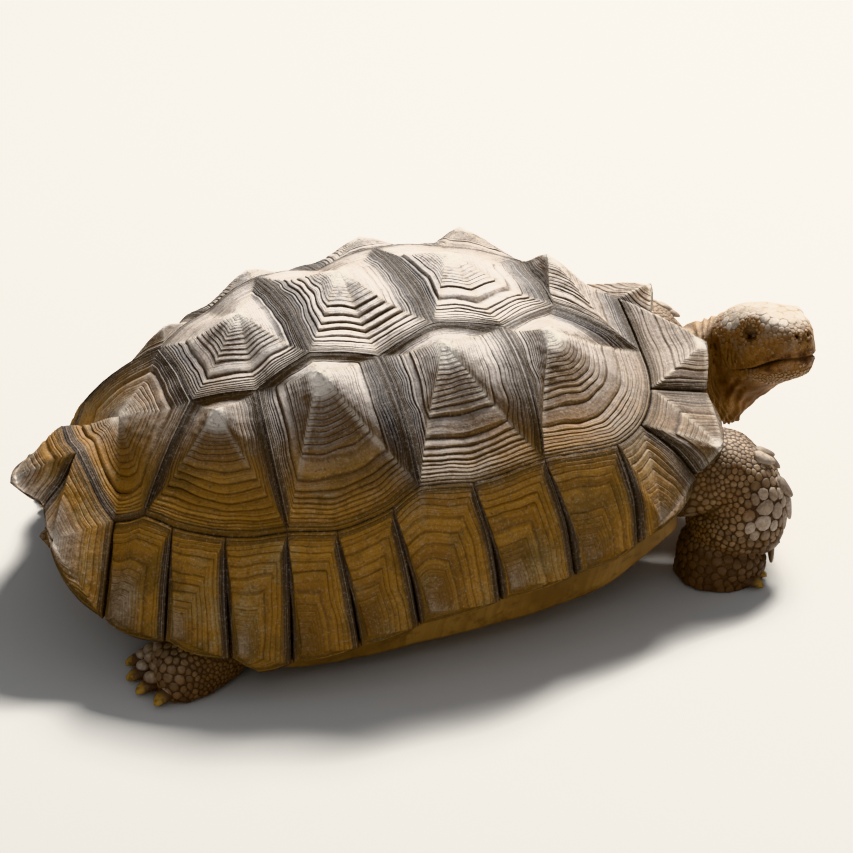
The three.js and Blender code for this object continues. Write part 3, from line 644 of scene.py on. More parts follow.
# Axes of the head: ahead along the snout, right and up
ahead = np.array([math.cos(HEAD_TURN) * math.cos(HEAD_TILT), math.sin(HEAD_TURN) * math.cos(HEAD_TILT),
                  math.sin(HEAD_TILT)])
rightward = np.array([math.sin(HEAD_TURN), -math.cos(HEAD_TURN), 0.0])
rightward = rightward * math.cos(HEAD_ROLL) - np.cross(ahead, rightward) * math.sin(HEAD_ROLL)
topward = np.cross(rightward, ahead)


def in_head(points):
    """Points as (along the snout, out to the right, up) of the head."""
    return (points - HEAD_BASE) @ np.stack([ahead, rightward, topward], 1)


def from_head(place, side):
    """Points of head coordinates in the animal's frame, on its left if side is -1."""
    return HEAD_BASE + place[..., :1] * ahead + side * place[..., 1:2] * rightward + place[..., 2:] * topward


def head_rings(along, angles):
    """Rings of the head at distances along its snout."""
    value = smooth(HEAD, along)
    wide, crown, under = (value[:, i:i + 1] - COAT for i in range(3))
    centre = HEAD_BASE + along[:, None] * ahead
    return squared_ovals(centre, np.broadcast_to(rightward, centre.shape),
                         np.broadcast_to(topward, centre.shape), wide, crown, under, value[:, 3:4], angles)


HEAD_AROUND = 252
# More columns where the eyes are, fewer under the throat
crowding = np.cumsum(1 + 0.9 * bell(np.abs(even_angles(720) - math.pi / 2) - 1.12, 0.28))
crowding = crowding - crowding[0]
crowding = np.interp(np.arange(HEAD_AROUND) / HEAD_AROUND * crowding[-1], crowding, even_angles(720))
neck_rings = tube(NECK, RIGHT, np.linspace(0, 4, 52), crowding)
join = np.linspace(0, 1, 26)[1:-1, None, None]
under = np.maximum(0, -np.sin(crowding))[None, :, None]
base_ring = head_rings(np.array([HEAD[0][0]]), crowding)[0]
joined = neck_rings[-1] * (1 - join) + base_ring * join + THROAT_POUCH * under * np.sin(math.pi * join)
SNOUT_END = 100.6
snout = np.concatenate([np.arange(6, 22, 1.4), np.arange(22, 46, 0.8), np.arange(46, 78, 0.72),
                        np.arange(78, 94, 0.9), np.arange(94, SNOUT_END, 0.6)])
# The front closes in rounded steps, each ring smaller and a little further on
front_ring = head_rings(np.array([SNOUT_END]), crowding)[0]
front_middle = front_ring.mean(0)
nose = [front_middle + (front_ring - front_middle) * math.cos(a) + ahead * 1.3 * math.sin(a)
        for a in np.linspace(0.2, 1.48, 14)]
head_grid = np.concatenate([neck_rings, joined, head_rings(snout, crowding), np.stack(nose)])
# Round the hard joint of neck and head by averaging along the path
first_head = len(neck_rings) + len(joined)
weight = bell(np.arange(len(head_grid)) - first_head, 9.0)[:, None, None]
for _ in range(6):
    blurred = head_grid.copy()
    blurred[1:-1] = (head_grid[:-2] + 2 * head_grid[1:-1] + head_grid[2:]) / 4
    head_grid = head_grid * (1 - weight) + blurred * weight

local = in_head(head_grid)
along, out, up = local[..., 0], local[..., 1], local[..., 2]
ring_number = np.arange(len(head_grid))[:, None]
on_head = ease(first_head - 8, first_head + 1, ring_number)
normal = normals_of(head_grid, from_axis(head_grid))
# Folds: rings round the neck, drawn together behind the head, and slack creases under the throat
walk = np.cumsum(np.linalg.norm(np.diff(head_grid.mean(1), axis=0, prepend=head_grid.mean(1)[:1]), axis=1))
walk = walk[:, None]
loose = ease(20, 60, walk) * ease(first_head - 3, first_head - 14, ring_number)
fold = np.sin(2 * math.pi * (walk / 8.5 + 0.7 * ripple(head_grid, 60.0, 61, 2)))
push = loose * 1.6 * (np.abs(fold) ** 0.7 * np.sign(fold) - 0.2)
crease = np.sin(2 * math.pi * (np.abs(out) / 10.0 + 0.5 * ripple(head_grid, 50.0, 62, 2)))
push += 1.3 * crease * ease(-22, -42, up) * ease(52, 20, along) * ease(60, 100, walk)
# Eye in a shallow socket, under a granular brow that bulges over it; bags and creases beneath
eye_gap = np.hypot(along - EYE_ALONG, (up - EYE_UP) * 1.15)
push -= 2.6 * bell(eye_gap, 10.0) * on_head
brow = bell(np.hypot((along - 62) / 1.7, up - 24.5), 7.0) * ease(6, 16, np.abs(out))
between_brows = bell(np.hypot((along - 60) / 1.6, out * 0.9), 16.0) * ease(20, 32, up)
push += (5.2 * brow - 1.6 * between_brows) * on_head
bags = np.sin(np.hypot(along - EYE_ALONG, up - EYE_UP + 1) * 1.7)
push += 0.6 * bags * bell(eye_gap - 13.5, 4.0) * ease(14, 2, up) * on_head
# Jaw muscle, the drum of the ear behind it, the hollow before the eye and the cheek's upright cracks
drum = np.hypot((along - 15) / 8.0, (up + 5) / 14.0)
at_side = ease(10, 16, np.abs(out))
push += (1.2 * bell(drum - 1.08, 0.22) - 1.2 * ease(1.0, 0.8, drum)) * at_side * on_head
push += 1.6 * bell(np.hypot(along - 36, up + 14), 13.0) * on_head
push -= 1.3 * bell(np.hypot(along - 80, up - 2), 9.0)
cracks = ease(0.35, 0.85, np.cos(2 * math.pi * (along / 5.2 + 0.35 * ripple(head_grid, 22.0, 65, 2))))
on_cheek = bell(along - 33, 9.0) * bell(up + 11, 9.0) * at_side
cracks = cracks * on_cheek * on_head
push -= 2.0 * cracks
# Mouth: the gape between the two horny edges, its corner, and the line of the jaw behind it
UPPER_LIP = [[20, -23.5], [38, -23], [58, -21], [76, -16], [88, -12.5], [110, -13]]
LOWER_LIP = [[20, -24.5], [38, -25], [58, -24.5], [76, -21.0], [88, -16.5], [96, -14.2], [110, -13.6]]
upper = np.interp(along, *np.array(UPPER_LIP).T)
lower = np.interp(along, *np.array(LOWER_LIP).T)
inside = ease(0.4, -0.5, up - upper) * ease(-0.4, 0.5, up - lower) * ease(34, 42, along)
gape = np.clip((upper - lower) / 9.0, 0.12, 1)
line = bell(up - (upper + lower) / 2, 0.9) * ease(16, 40, along) * on_head
push = push - 8.0 * inside * gape * on_head - 1.8 * line * (1 - inside)
push += 0.9 * bell(up - upper - 2.2, 1.8) * ease(40, 60, along) * on_head
push += 1.1 * bell(up - lower + 2.4, 2.0) * ease(40, 60, along) * on_head
# The ridges of the beak, a swelling round each nostril, and the nostrils
beak = ease(10, 2, np.abs(up - (upper + lower) / 2) - (upper - lower) / 2) * ease(58, 78, along) * on_head
spokes = np.sin(2 * math.pi * (np.arctan2(out, 104 - along) * 3.2 + 0.2 * ripple(head_grid, 20.0, 66, 2)))
push += 0.45 * spokes * beak
NOSTRIL = (101.3, 6.6, 7.5)
nostril = np.sqrt((along - NOSTRIL[0]) ** 2 * 0.3 + (np.abs(out) - NOSTRIL[1]) ** 2 + (up - NOSTRIL[2]) ** 2)
push = push - 3.0 * ease(2.6, 1.0, nostril) + 0.9 * bell(nostril - 4.2, 1.8)
push += 0.30 * ripple(head_grid, 13.0, 63, 3)
head_grid = head_grid + normal * push[..., None]

mouth = np.clip(inside * gape * 1.4 + 0.7 * line, 0, 1) * on_head
beak = beak * (1 - mouth)
# Painted shade: in the gape and along the mouth line, in the nostrils, in the troughs of the neck folds, in the
# cheek cracks and round the eye socket
dark = np.maximum.reduce([mouth, ease(2.6, 1.2, nostril), 0.40 * loose * ease(0.1, -0.8, fold),
                          0.9 * cracks, 0.35 * bell(eye_gap - 9.0, 2.2) * on_head])
greyed = ease(4, 24, up) * on_head


def tube_uv(shape, box):
    """Unwrap of a tube: across a box by columns, up it by rows, with both poles at its ends."""
    rows, columns = shape[:2]
    left, bottom, width, height = box
    r, c = np.meshgrid(np.arange(rows) / (rows - 1), np.arange(columns) / columns, indexing="ij")
    grid = np.stack([left + width * c, bottom + height * r], -1).reshape(-1, 2)
    return np.vstack([grid, [[left + width / 2, bottom], [left + width / 2, bottom + height]]])


def skin_part(grid, box, **values):
    """Closed tube of skin with its unwrap and the values that colour it."""
    flat_values = {}
    for key in ("dark", "grey", "beak", "fold"):
        value = np.broadcast_to(values.get(key, 0.0), grid.shape[:2])
        flat_values[key] = np.concatenate([value.ravel(), [value[0].mean(), value[-1].mean()]])
    return Part(capped(grid), flat_values, tube_uv(grid.shape, box))


skin_parts = [skin_part(head_grid, (0.0, 0.0, 1.0, 0.42), dark=dark, grey=greyed, beak=beak,
                        fold=loose * (fold * 0.5 + 0.5))]

FLOOR_GAP, FLOOR_SKIM = 0.4, 0.3
FLOOR_TURN = 5.6


def settle(grid):
    """Flattens what would hang below the floor, with a soft turn at its edge."""
    z = grid[..., 2]
    edge = FLOOR_GAP + FLOOR_TURN
    lifted = np.where(z < edge, FLOOR_GAP + FLOOR_TURN * np.exp((z - edge) / FLOOR_TURN), z)
    return np.concatenate([grid[..., :2], lifted[..., None]], -1)


def limb(stations, side, rows, columns, joint, ankle, blunt):
    """Rings of a leg: a tube, evened where it bends, with creases across its joint, slack skin at its root
    and a deep fold over the foot; its end is rounded over the last share of its stations."""
    last = len(stations) - 1
    t = np.linspace(0, last, rows)
    grid = tube(stations, side, t, even_angles(columns))
    drawn_in = np.sqrt(1 - 0.9 * np.clip((t - last + blunt) / max(blunt, 0.01), 0, 1) ** 2)[:, None, None]
    middle = grid.mean(1, keepdims=True)
    grid = middle + (grid - middle) * drawn_in
    even = bell(t - joint + 1.8, 1.5)[1:-1, None, None]
    for _ in range(40):
        grid[1:-1] += even * ((grid[:-2] + grid[2:]) / 2 - grid[1:-1]) * 0.6
    face = normals_of(grid, from_axis(grid))
    bend = np.sin(2 * math.pi * (t[:, None] * 3.0 + 0.5 * ripple(grid, 60.0, 13, 2)))
    slack = bell(t[:, None] - joint, 0.45) + 0.8 * ease(1.6, 0.4, t[:, None])
    crease = bell(t[:, None] - ankle + 0.12 * ripple(grid, 50.0, 16, 1), 0.16)
    push = 1.0 * bend * slack + 0.8 * ripple(grid, 34.0, 14, 3) - 5.0 * crease
    push += 1.3 * bell(t[:, None] - ankle + 0.42, 0.2)
    grid = grid + face * push[..., None]
    return settle(grid), np.clip(slack * ease(0.2, -0.8, bend) * 0.5 + crease, 0, 1)


stride_stations = [[row[0] + STRIDE * min(1, i / 3), *row[1:]] for i, row in enumerate(FORELEG)]
HIND_SIDE = np.array([-0.35, 0.0, 1.0])
limbs = {}
for name, stations, side_of, rows, columns, joint, ankle, blunt, box in (
        ("foreleg_right", FORELEG, RIGHT, 110, 96, 4.9, 5.35, 0.0, (0.0, 0.44, 0.48, 0.24)),
        ("foreleg_left", stride_stations, RIGHT, 110, 96, 4.9, 5.35, 0.0, (0.5, 0.44, 0.48, 0.24)),
        ("hindleg_right", HINDLEG, HIND_SIDE, 100, 84, 2.4, 2.7, 0.8, (0.0, 0.7, 0.48, 0.14)),
        ("hindleg_left", HINDLEG, HIND_SIDE, 100, 84, 2.4, 2.7, 0.8, (0.5, 0.7, 0.48, 0.14))):
    grid, creases = limb(stations, side_of, rows, columns, joint, ankle, blunt)
    if name.endswith("left"):
        grid = grid * [1, -1, 1]
    limbs[name] = grid
    # Painted shade in the leg's creases and on the skin between its scales
    between_scales = 0.78 * ease(0.16, 0.26, np.arange(rows)[:, None] / (rows - 1))
    skin_parts.append(skin_part(grid, box, dark=np.maximum(0.75 * creases, between_scales), grey=0.3))
tail_grid = tube(TAIL, RIGHT, np.linspace(0, 3, 40), even_angles(40))
tail_grid = tail_grid + 0.5 * ripple(tail_grid, 14.0, 77, 2)[..., None] * from_axis(tail_grid)
skin_parts.append(skin_part(tail_grid, (0.0, 0.86, 0.48, 0.12), grey=0.1))


TRUNK_SHARE = 0.996


def trunk_part():
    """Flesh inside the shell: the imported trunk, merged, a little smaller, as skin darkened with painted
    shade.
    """
    solid = merged("trunk")
    points = points_of(solid.verts)
    tris = np.array([[v.index for v in f.verts] for f in solid.faces if len(f.verts) == 3])
    solid.free()
    middle = points.mean(0)
    points = middle + (points - middle) * TRUNK_SHARE
    values = {key: np.full(len(points), level) for key, level in
              (("dark", 0.55), ("grey", 0.3), ("beak", 0.0), ("fold", 0.0))}
    lowest, highest = points.min(0), points.max(0)
    spot = (points[:, :2] - lowest[:2]) / (highest - lowest)[:2] * 0.12
    return Part((points, np.zeros((0, 4), int), tris), values, spot + [0.5, 0.86])


skin_parts.append(trunk_part())


LID_CORNER = 1.12                # angle from the eye's middle to either corner
LID_STANDS, LID_CLEARS = 1.1, 0.25


def lid(side, upper, seed):
    """An eyelid: a thin cap of a sphere round the eyeball from its edge to behind the socket's rim, its edge
    a shallow arc between the corners of the eye."""
    turn = np.linspace(-1, 1, 40)
    yaw = turn * LID_CORNER
    arc = np.sqrt(np.clip(1 - turn**2, 0, 1))
    edge, end = (0.10 * arc - 0.04, 1.25 * arc + 0.02) if upper else (-0.38 * arc - 0.06, -1.15 * arc - 0.06)
    u = np.linspace(0, 1, 16)[:, None]
    pitch = edge + (end - edge) * u
    radius = EYE_RADIUS + LID_STANDS + 0.35 * bell(u - 0.05, 0.07) + 0.3 * np.sin(u * 24) * u
    radius = radius + 0.18 * ripple(np.stack([yaw * 9 + 0 * u, pitch * 9], -1), 2.2, seed, 1)
    outer = np.stack([np.sin(yaw) * np.cos(pitch), np.cos(yaw) * np.cos(pitch), np.sin(pitch) + 0 * yaw], -1)
    inner = outer[::-1] * (EYE_RADIUS + LID_CLEARS)
    # Each ring of the tube runs up the outer sheet and back down the inner one
    sheets = np.concatenate([outer * radius[..., None], inner]).transpose(1, 0, 2)
    shadow = 0.12 + 0.7 * bell(pitch - edge, 0.28)
    values = {"dark": np.concatenate([shadow, shadow[::-1]]).T}
    box = (0.64, 0.92 if upper else 0.86, 0.1, 0.05)
    return skin_part(from_head(EYE_CENTRE + sheets, side), box, **values)


for eye_side in (-1, 1):
    skin_parts.append(lid(eye_side, True, 81))
    skin_parts.append(lid(eye_side, False, 82))

skin, at = material("skin")
dark_share, grey_share, beak_share, fold_share = (at.read(name) for name in ("dark", "grey", "beak", "fold"))
where = at.place()
cloud = at.noise(where, 26.0, 5.0)
mottle = at.noise(where, 90.0, 4.0, 0.6)
wrinkle = at.cells(where, 420.0)
tan = at.mix(cloud.between(0.38, 0.62), (0.16, 0.070, 0.022), (0.42, 0.235, 0.105))
ashen = at.mix(mottle.between(0.35, 0.65), (0.21, 0.145, 0.095), (0.34, 0.265, 0.185))
colour = at.mix(grey_share, tan, ashen).under(
    # Paler where the skin faces up: painted sunlight over the real paler crown
    (at.upward().between(0.3, 1.0) * 0.45, (0.55, 0.46, 0.35)),
    (fold_share * 0.18, (0.50, 0.34, 0.18)),
    (beak_share, at.mix(mottle.between(0.42, 0.58), (0.085, 0.036, 0.018), (0.30, 0.155, 0.070))),
    (wrinkle.between(0.10, 0.0) * 0.5, (0.13, 0.075, 0.04)),
    # Painted shade, near black where full: gape, nostrils, creases, cracks, eye sockets, lid rims, skin between
    # scales and flesh under the shell
    (dark_share, (0.022, 0.013, 0.010)))
creased = at.bump(wrinkle.between(0.0, 0.25) + mottle * 0.6, 0.5, 0.0009)
at.surface(colour, 0.62 + cloud * 0.2 - beak_share * 0.22, creased)
piece("skin", skin_parts, skin, ["trunk", "neck", "head", "lower_jaw", "tail", *limbs])

# ---------------------------------------------------------------- eyes
# Dark brown eyes, wet and clear, that sit deep between the lids. Each is a ball whose front swells a little
# under a glossy coat, with pupil, iris and a dark rim as rings about its middle.
eye_finish, at = material("eye")
ring = at.read("ring")
fleck = at.noise(at.place(), 900.0, 3.0)
colour = at.mix(ring.between(0.30, 0.36), (0.004, 0.003, 0.003), (0.060, 0.028, 0.012)).under(
    (ring.between(0.62, 0.72) * 0.8, (0.03, 0.018, 0.012)),
    (fleck.between(0.5, 0.7) * ring.between(0.3, 0.6) * 0.5, (0.12, 0.06, 0.02)))
at.surface(colour, 0.06, None, Coat_Weight=0.6)
for eye_side, name in ((1, "right"), (-1, "left")):
    tilt = np.linspace(0, math.pi, 30)[1:-1, None]
    spin = even_angles(40)[None]
    ball = np.stack([np.sin(tilt) * np.cos(spin), np.cos(tilt) + 0 * spin, np.sin(tilt) * np.sin(spin)], -1)
    ball = ball * (EYE_RADIUS - 0.1 + 0.5 * bell(tilt, 0.5))[..., None]
    grid = from_head(EYE_CENTRE + ball, eye_side)
    ends = [from_head(EYE_CENTRE + [0.0, d, 0.0], eye_side) for d in (EYE_RADIUS + 0.4, -EYE_RADIUS)]
    values = {"ring": np.concatenate([np.broadcast_to(tilt / 1.5, grid.shape[:2]).ravel(), [0.0, 2.0]])}
    piece(f"eyeball_{name}", [Part(capped(grid, *ends), values)], eye_finish, [f"eye_{name}"])

# ---------------------------------------------------------------- scales of head, legs and tail
# Solid scales stand side by side on the skin like paving: a few wide ones on the crown and the forelegs,
# many small ones elsewhere. Each is a low dome, cut off halfway to its neighbours and sunk at its rim.


NEAREST = 0.45                   # of two spacings' sum: as close as two scales' roots may be


class Bed:
    """A grid of skin that scales are set on, with its normals, and how far apart they stand at each point."""

    def __init__(self, grid, spacing):
        self.grid = grid
        self.spacing = np.broadcast_to(spacing, grid.shape[:2])
        self.normal = normals_of(grid, from_axis(grid))

    def at(self, values, row, column):
        """Values of a grid between its rows and columns, round its columns and held at its ends."""
        rows, columns = values.shape[:2]
        row = np.clip(row, 0, rows - 1.001)
        r, c = np.floor(row).astype(int), np.floor(column).astype(int)
        u, v = row - r, column - c
        if values.ndim > 2:
            u, v = u[..., None], v[..., None]
        c0, c1 = c % columns, (c + 1) % columns
        return ((values[r, c0] * (1 - v) + values[r, c1] * v) * (1 - u)
                + (values[r + 1, c0] * (1 - v) + values[r + 1, c1] * v) * u)

    def unwrapped(self, row, column):
        """Where a root lies in the unwrap of its scales."""
        rows, columns = self.grid.shape[:2]
        return np.stack([0.01 + 0.98 * column / columns, 0.01 + 0.98 * row / (rows - 1)], -1)

    def sow(self, tries, seed):
        """Roots spread evenly: of many random places, widest scales first, each is kept if no kept one is
        nearer than a share of the sum of their spacings."""
        draw = np.random.default_rng(seed)
        columns = self.grid.shape[1]
        size = (np.linalg.norm(np.roll(self.grid, -1, 1) - self.grid, axis=-1)[:-1]
                * np.linalg.norm(np.diff(self.grid, axis=0), axis=-1) * (self.spacing[:-1] > 0))
        share = size / np.maximum(self.spacing[:-1], 1) ** 2
        pick = draw.choice(share.size, tries, p=share.ravel() / share.sum())
        row = pick // columns + draw.random(tries)
        column = pick % columns + draw.random(tries)
        gap = self.at(self.spacing, row, column)
        order = np.argsort(-gap * draw.uniform(0.75, 1.25, tries))
        row, column, gap = row[order], column[order], gap[order]
        spot = self.at(self.grid, row, column)
        kept = np.zeros((tries, 3))
        kept_gap = np.zeros(tries)
        chosen = []
        for i in range(tries):
            if gap[i] <= 0.5:
                continue
            n = len(chosen)
            reach = NEAREST * (kept_gap[:n] + gap[i])
            if n and (((kept[:n] - spot[i]) ** 2).sum(1) < reach**2).any():
                continue
            kept[n], kept_gap[n] = spot[i], gap[i]
            chosen.append(i)
        return row[chosen], column[chosen], kept_gap[: len(chosen)], kept[: len(chosen)]


DOME = ((1.0, -0.45), (0.97, 0.35), (0.84, 0.80), (0.5, 1.0))   # shares of a scale's reach and of its height
DOME_TOP = 1.06
SCALE_SIDES = 10
NEIGHBOURS = 12
WIDEST, NARROWEST = 0.92, 0.3    # share of its spacing that a scale may reach, and its least reach
UNWRAP_SHARE = 0.0015            # what one scale takes of its bed's unwrap


def scales(bed, sown, height, tilt, seed, inset=0.3):
    """Scales on a bed. In each direction a scale reaches to the plane that parts it from its neighbours, by
    the ratio of their spacings, less the inset; tilt lifts the end that points down the limb."""
    draw = np.random.default_rng(seed)
    row, column, gap, root = sown
    count = len(row)
    step = 0.5
    by_row = bed.at(bed.grid, row + step, column) - bed.at(bed.grid, row - step, column)
    by_column = bed.at(bed.grid, row, column + step) - bed.at(bed.grid, row, column - step)
    normal = unit(bed.at(bed.normal, row, column))
    lie = unit(by_row - normal * dots(by_row, normal)[:, None])
    cross = np.cross(normal, lie)
    apart = root[None] - root[:, None]
    distance = np.linalg.norm(apart, axis=-1) + np.eye(count) * 1e6
    near = np.argsort(distance, 1)[:, :NEIGHBOURS]
    vector = np.take_along_axis(apart, near[..., None], 1)
    length = np.take_along_axis(distance, near, 1)
    share = gap[:, None] / (gap[:, None] + gap[near])
    flat_x = dots(vector, lie[:, None]) / length
    flat_y = dots(vector, cross[:, None]) / length
    turn = even_angles(SCALE_SIDES)[None] + draw.uniform(*ANY_PHASE, (count, 1))
    facing = flat_x[..., None] * np.cos(turn)[:, None] + flat_y[..., None] * np.sin(turn)[:, None]
    reach = (length * share)[..., None] / np.maximum(facing, 0.05)
    reach = np.minimum(reach.min(1), WIDEST * gap[:, None])
    reach = 0.6 * reach + 0.2 * (np.roll(reach, 1, 1) + np.roll(reach, -1, 1)) - inset
    reach = np.maximum(reach, NARROWEST)
    a = dots(by_row, lie)
    b = dots(by_column, lie)
    d = dots(by_column, cross)
    c = dots(by_row, cross)
    det = a * d - b * c
    det = np.where(np.abs(det) < 1e-6, 1e-6, det)
    tall = bed.at(np.broadcast_to(height, bed.grid.shape[:2]), row, column) * gap**0.8
    tall = tall * draw.uniform(0.8, 1.2, count)
    shapes, domes = [], []
    for share_out, share_up in [*DOME, (0.0, DOME_TOP)]:
        x = share_out * reach * np.cos(turn)
        y = share_out * reach * np.sin(turn)
        if share_out == 0.0:
            x, y = x[:, :1], y[:, :1]
        dr = (d[:, None] * x - b[:, None] * y) / det[:, None]
        dc = (a[:, None] * y - c[:, None] * x) / det[:, None]
        spot = bed.at(bed.grid, row[:, None] + dr, column[:, None] + dc)
        face = unit(bed.at(bed.normal, row[:, None] + dr, column[:, None] + dc))
        rise = tall[:, None] * share_up + tilt * x * (share_up > 0)
        shapes.append(spot + face * rise[..., None])
        domes.append(np.full(x.shape, max(share_up, 0.0)))
    bottom = bed.at(bed.grid, row, column)[:, None] - normal[:, None] * tall[:, None, None] * 0.45
    each = np.concatenate([*shapes, bottom], 1)
    per = each.shape[1]
    rings, edge = len(DOME), np.arange(SCALE_SIDES)
    quads = grid_faces(rings, SCALE_SIDES)
    tris = np.vstack([fan_faces(rings * SCALE_SIDES, (rings - 1) * SCALE_SIDES + edge),
                      fan_faces(rings * SCALE_SIDES + 1, edge[::-1])])
    start = (np.arange(count) * per)[:, None, None]
    quads = (quads[None] + start).reshape(-1, 4)
    tris = (tris[None] + start).reshape(-1, 3)
    offset = np.concatenate([np.stack([share_out * np.cos(turn), share_out * np.sin(turn)], -1)
                             for share_out, _ in DOME] + [np.zeros((count, 2, 2))], 1)
    uv = bed.unwrapped(row, column)[:, None] + UNWRAP_SHARE * offset
    tone = np.repeat(draw.random(count), per)
    size = np.repeat(gap, per)
    dome_values = np.concatenate([*domes, np.zeros((count, 1))], 1)
    values = {"dome": dome_values.ravel(), "tone": tone, "size": size}
    return Part((each.reshape(-1, 3), quads, tris), values, uv.reshape(-1, 2))


scale_finish, at = material("scales")
dome, tone, size = at.read("dome"), at.read("tone"), at.read("size")
where = at.place()
# Painted shade low on the feet, near the floor
floor_shade = where.axis(2).between(0.050, 0.038) * where.axis(0).between(0.0, 0.1).blend(0.55, 1.0)
cloud = at.noise(where, 30.0, 4.0)
fine_grain = at.noise(where, 320.0, 3.0, 0.6)
small = at.mix(tone.between(0.1, 0.9), (0.098, 0.054, 0.030), (0.26, 0.165, 0.098))
wide = at.mix(tone.between(0.1, 0.9), (0.25, 0.19, 0.145), (0.42, 0.345, 0.285))
colour = at.mix(size.between(6.0, 12.0), small, wide).under(
    (size.between(4.4, 3.0), (0.050, 0.026, 0.012)),
    # Painted sunlight: paler on scales that face up
    (at.upward().between(0.45, 0.95) * size.between(3.0, 6.0) * 0.6, (0.56, 0.48, 0.38)),
    # Painted highlight on the top of each scale
    (dome.between(0.75, 1.02) * 0.25, (0.42, 0.30, 0.18)),
    (cloud.between(0.52, 0.72) * 0.5, (0.20, 0.085, 0.026)),
    # Painted shade on the feet, except the big toe scales
    (floor_shade * size.between(13.5, 12.0) * 0.84, at.mix(tone, (0.050, 0.027, 0.016), (0.110, 0.066, 0.040))),
    (fine_grain.between(0.6, 0.42) * 0.35, (0.09, 0.05, 0.03)),
    # Painted shade at each scale's sunk rim, between neighbours
    (dome.between(0.62, 0.15) * 0.9, (0.030, 0.018, 0.012)))
at.surface(colour, 0.50 + fine_grain * 0.25, at.bump(fine_grain, 0.45, 0.0006))

face_finish, at = material("face_scales")
dome, tone, size = at.read("dome"), at.read("tone"), at.read("size")
where = at.place()
cloud = at.noise(where, 45.0, 4.0)
fine_grain = at.noise(where, 420.0, 3.0, 0.6)
broad = at.noise(where, 22.0, 5.0, 0.65)
cheek = at.mix(tone, (0.24, 0.115, 0.038), (0.36, 0.195, 0.080)).under(
    (cloud.between(0.50, 0.68) * 0.6, (0.36, 0.28, 0.205)),
    (broad.between(0.50, 0.38) * 0.6, (0.115, 0.052, 0.020)))
top = at.mix(tone, (0.55, 0.47, 0.385), (0.78, 0.70, 0.605)).under(
    (broad.between(0.53, 0.64) * 0.6, (0.27, 0.235, 0.20)))
# Painted highlight on top of each small grain and painted shade at its base
grains = at.mix(dome.between(0.35, 0.9), (0.045, 0.022, 0.010), (0.40, 0.255, 0.145))
edge = at.mix(size.between(5.0, 9.0), (0.075, 0.038, 0.018), (0.34, 0.27, 0.20))
colour = at.mix(size.between(5.8, 9.0), cheek, top).under(
    # Painted sunlight: small scales that face up take the pale crown colour
    (at.upward().between(0.35, 0.8) * size.between(3.4, 5.0) * 0.75, top),
    (size.between(4.2, 3.3), grains),
    (fine_grain.between(0.6, 0.42) * 0.35, (0.12, 0.06, 0.03)),
    # Painted shade at each scale's sunk rim, between neighbours
    (dome.between(0.62, 0.10) * 0.75, edge))
at.surface(colour, 0.50 + fine_grain * 0.25, at.bump(fine_grain, 0.45, 0.0005))

# Head: plates on the crown and the snout, paving on the cheeks, fine grains round the eye and on the jaw
crown = ease(12, 26, up) * ease(10, 30, along)
granular = 0.8 * bell(eye_gap - 11.5, 2.5) * ease(6, 14, up)
granular = granular + 1.3 * bell(np.hypot((along - 59) / 2.3, up - 22.5), 5.6) * ease(8, 14, np.abs(out))
granular = granular + ease(-24, -28, up) * ease(46, 60, along) + bell(nostril - 4.0, 2.0)
granular = np.clip(granular, 0, 1)
head_spacing = (4.6 + 7.2 * crown * ease(102, 84, along)) * (1 - granular) + 3.0 * granular
bare = (eye_gap < 10.0) | (on_cheek > 0.3) | (drum < 0.92) & (np.abs(out) > 12)
bare = bare | (mouth > 0.05) | (beak > 0.25) | (nostril < 3.2)
bare = bare | (on_head < 0.9) | (ring_number > len(head_grid) - 6) | (up < -34) & (along < 58)
head_bed = Bed(head_grid, np.where(bare, 0.0, head_spacing))
sown = head_bed.sow(12000, 31)
head_height = 0.075 + 0.25 * granular - 0.03 * crown
piece("scales_head", [scales(head_bed, sown, head_height, 0.0, 32, inset=0.18)], face_finish,
      ["head"])


# The foot is painted darker low down as shade; the toe scales, by their size, stay out of it
SPUR_SIZE, TOE_SIZE = 13.0, 14.0     # told to the material, which keeps toe scales pale on a dark foot
SPUR_SIDES = 14


def horn_tube(centre, wide, up, radius, above, under, columns):
    """Ovals along a line, of a half width and shares of it as heights above and under the line."""
    radius = radius[:, None]
    return squared_ovals(centre, np.broadcast_to(wide, centre.shape), np.broadcast_to(up, centre.shape),
                         radius, radius * above, radius * under, 2.0, even_angles(columns))


def set_down(grid, mirrored):
    """Rests on the floor what would lie under it, and carries the left foot's copy across."""
    grid[..., 2] = np.maximum(grid[..., 2], FLOOR_SKIM)
    return grid * [1, -1, 1] if mirrored else grid


def one_scale(dome, size, draw):
    """Values of one big scale that the scales' material reads."""
    return {"dome": dome, "tone": np.full(len(dome), draw.random()), "size": np.full(len(dome), size)}


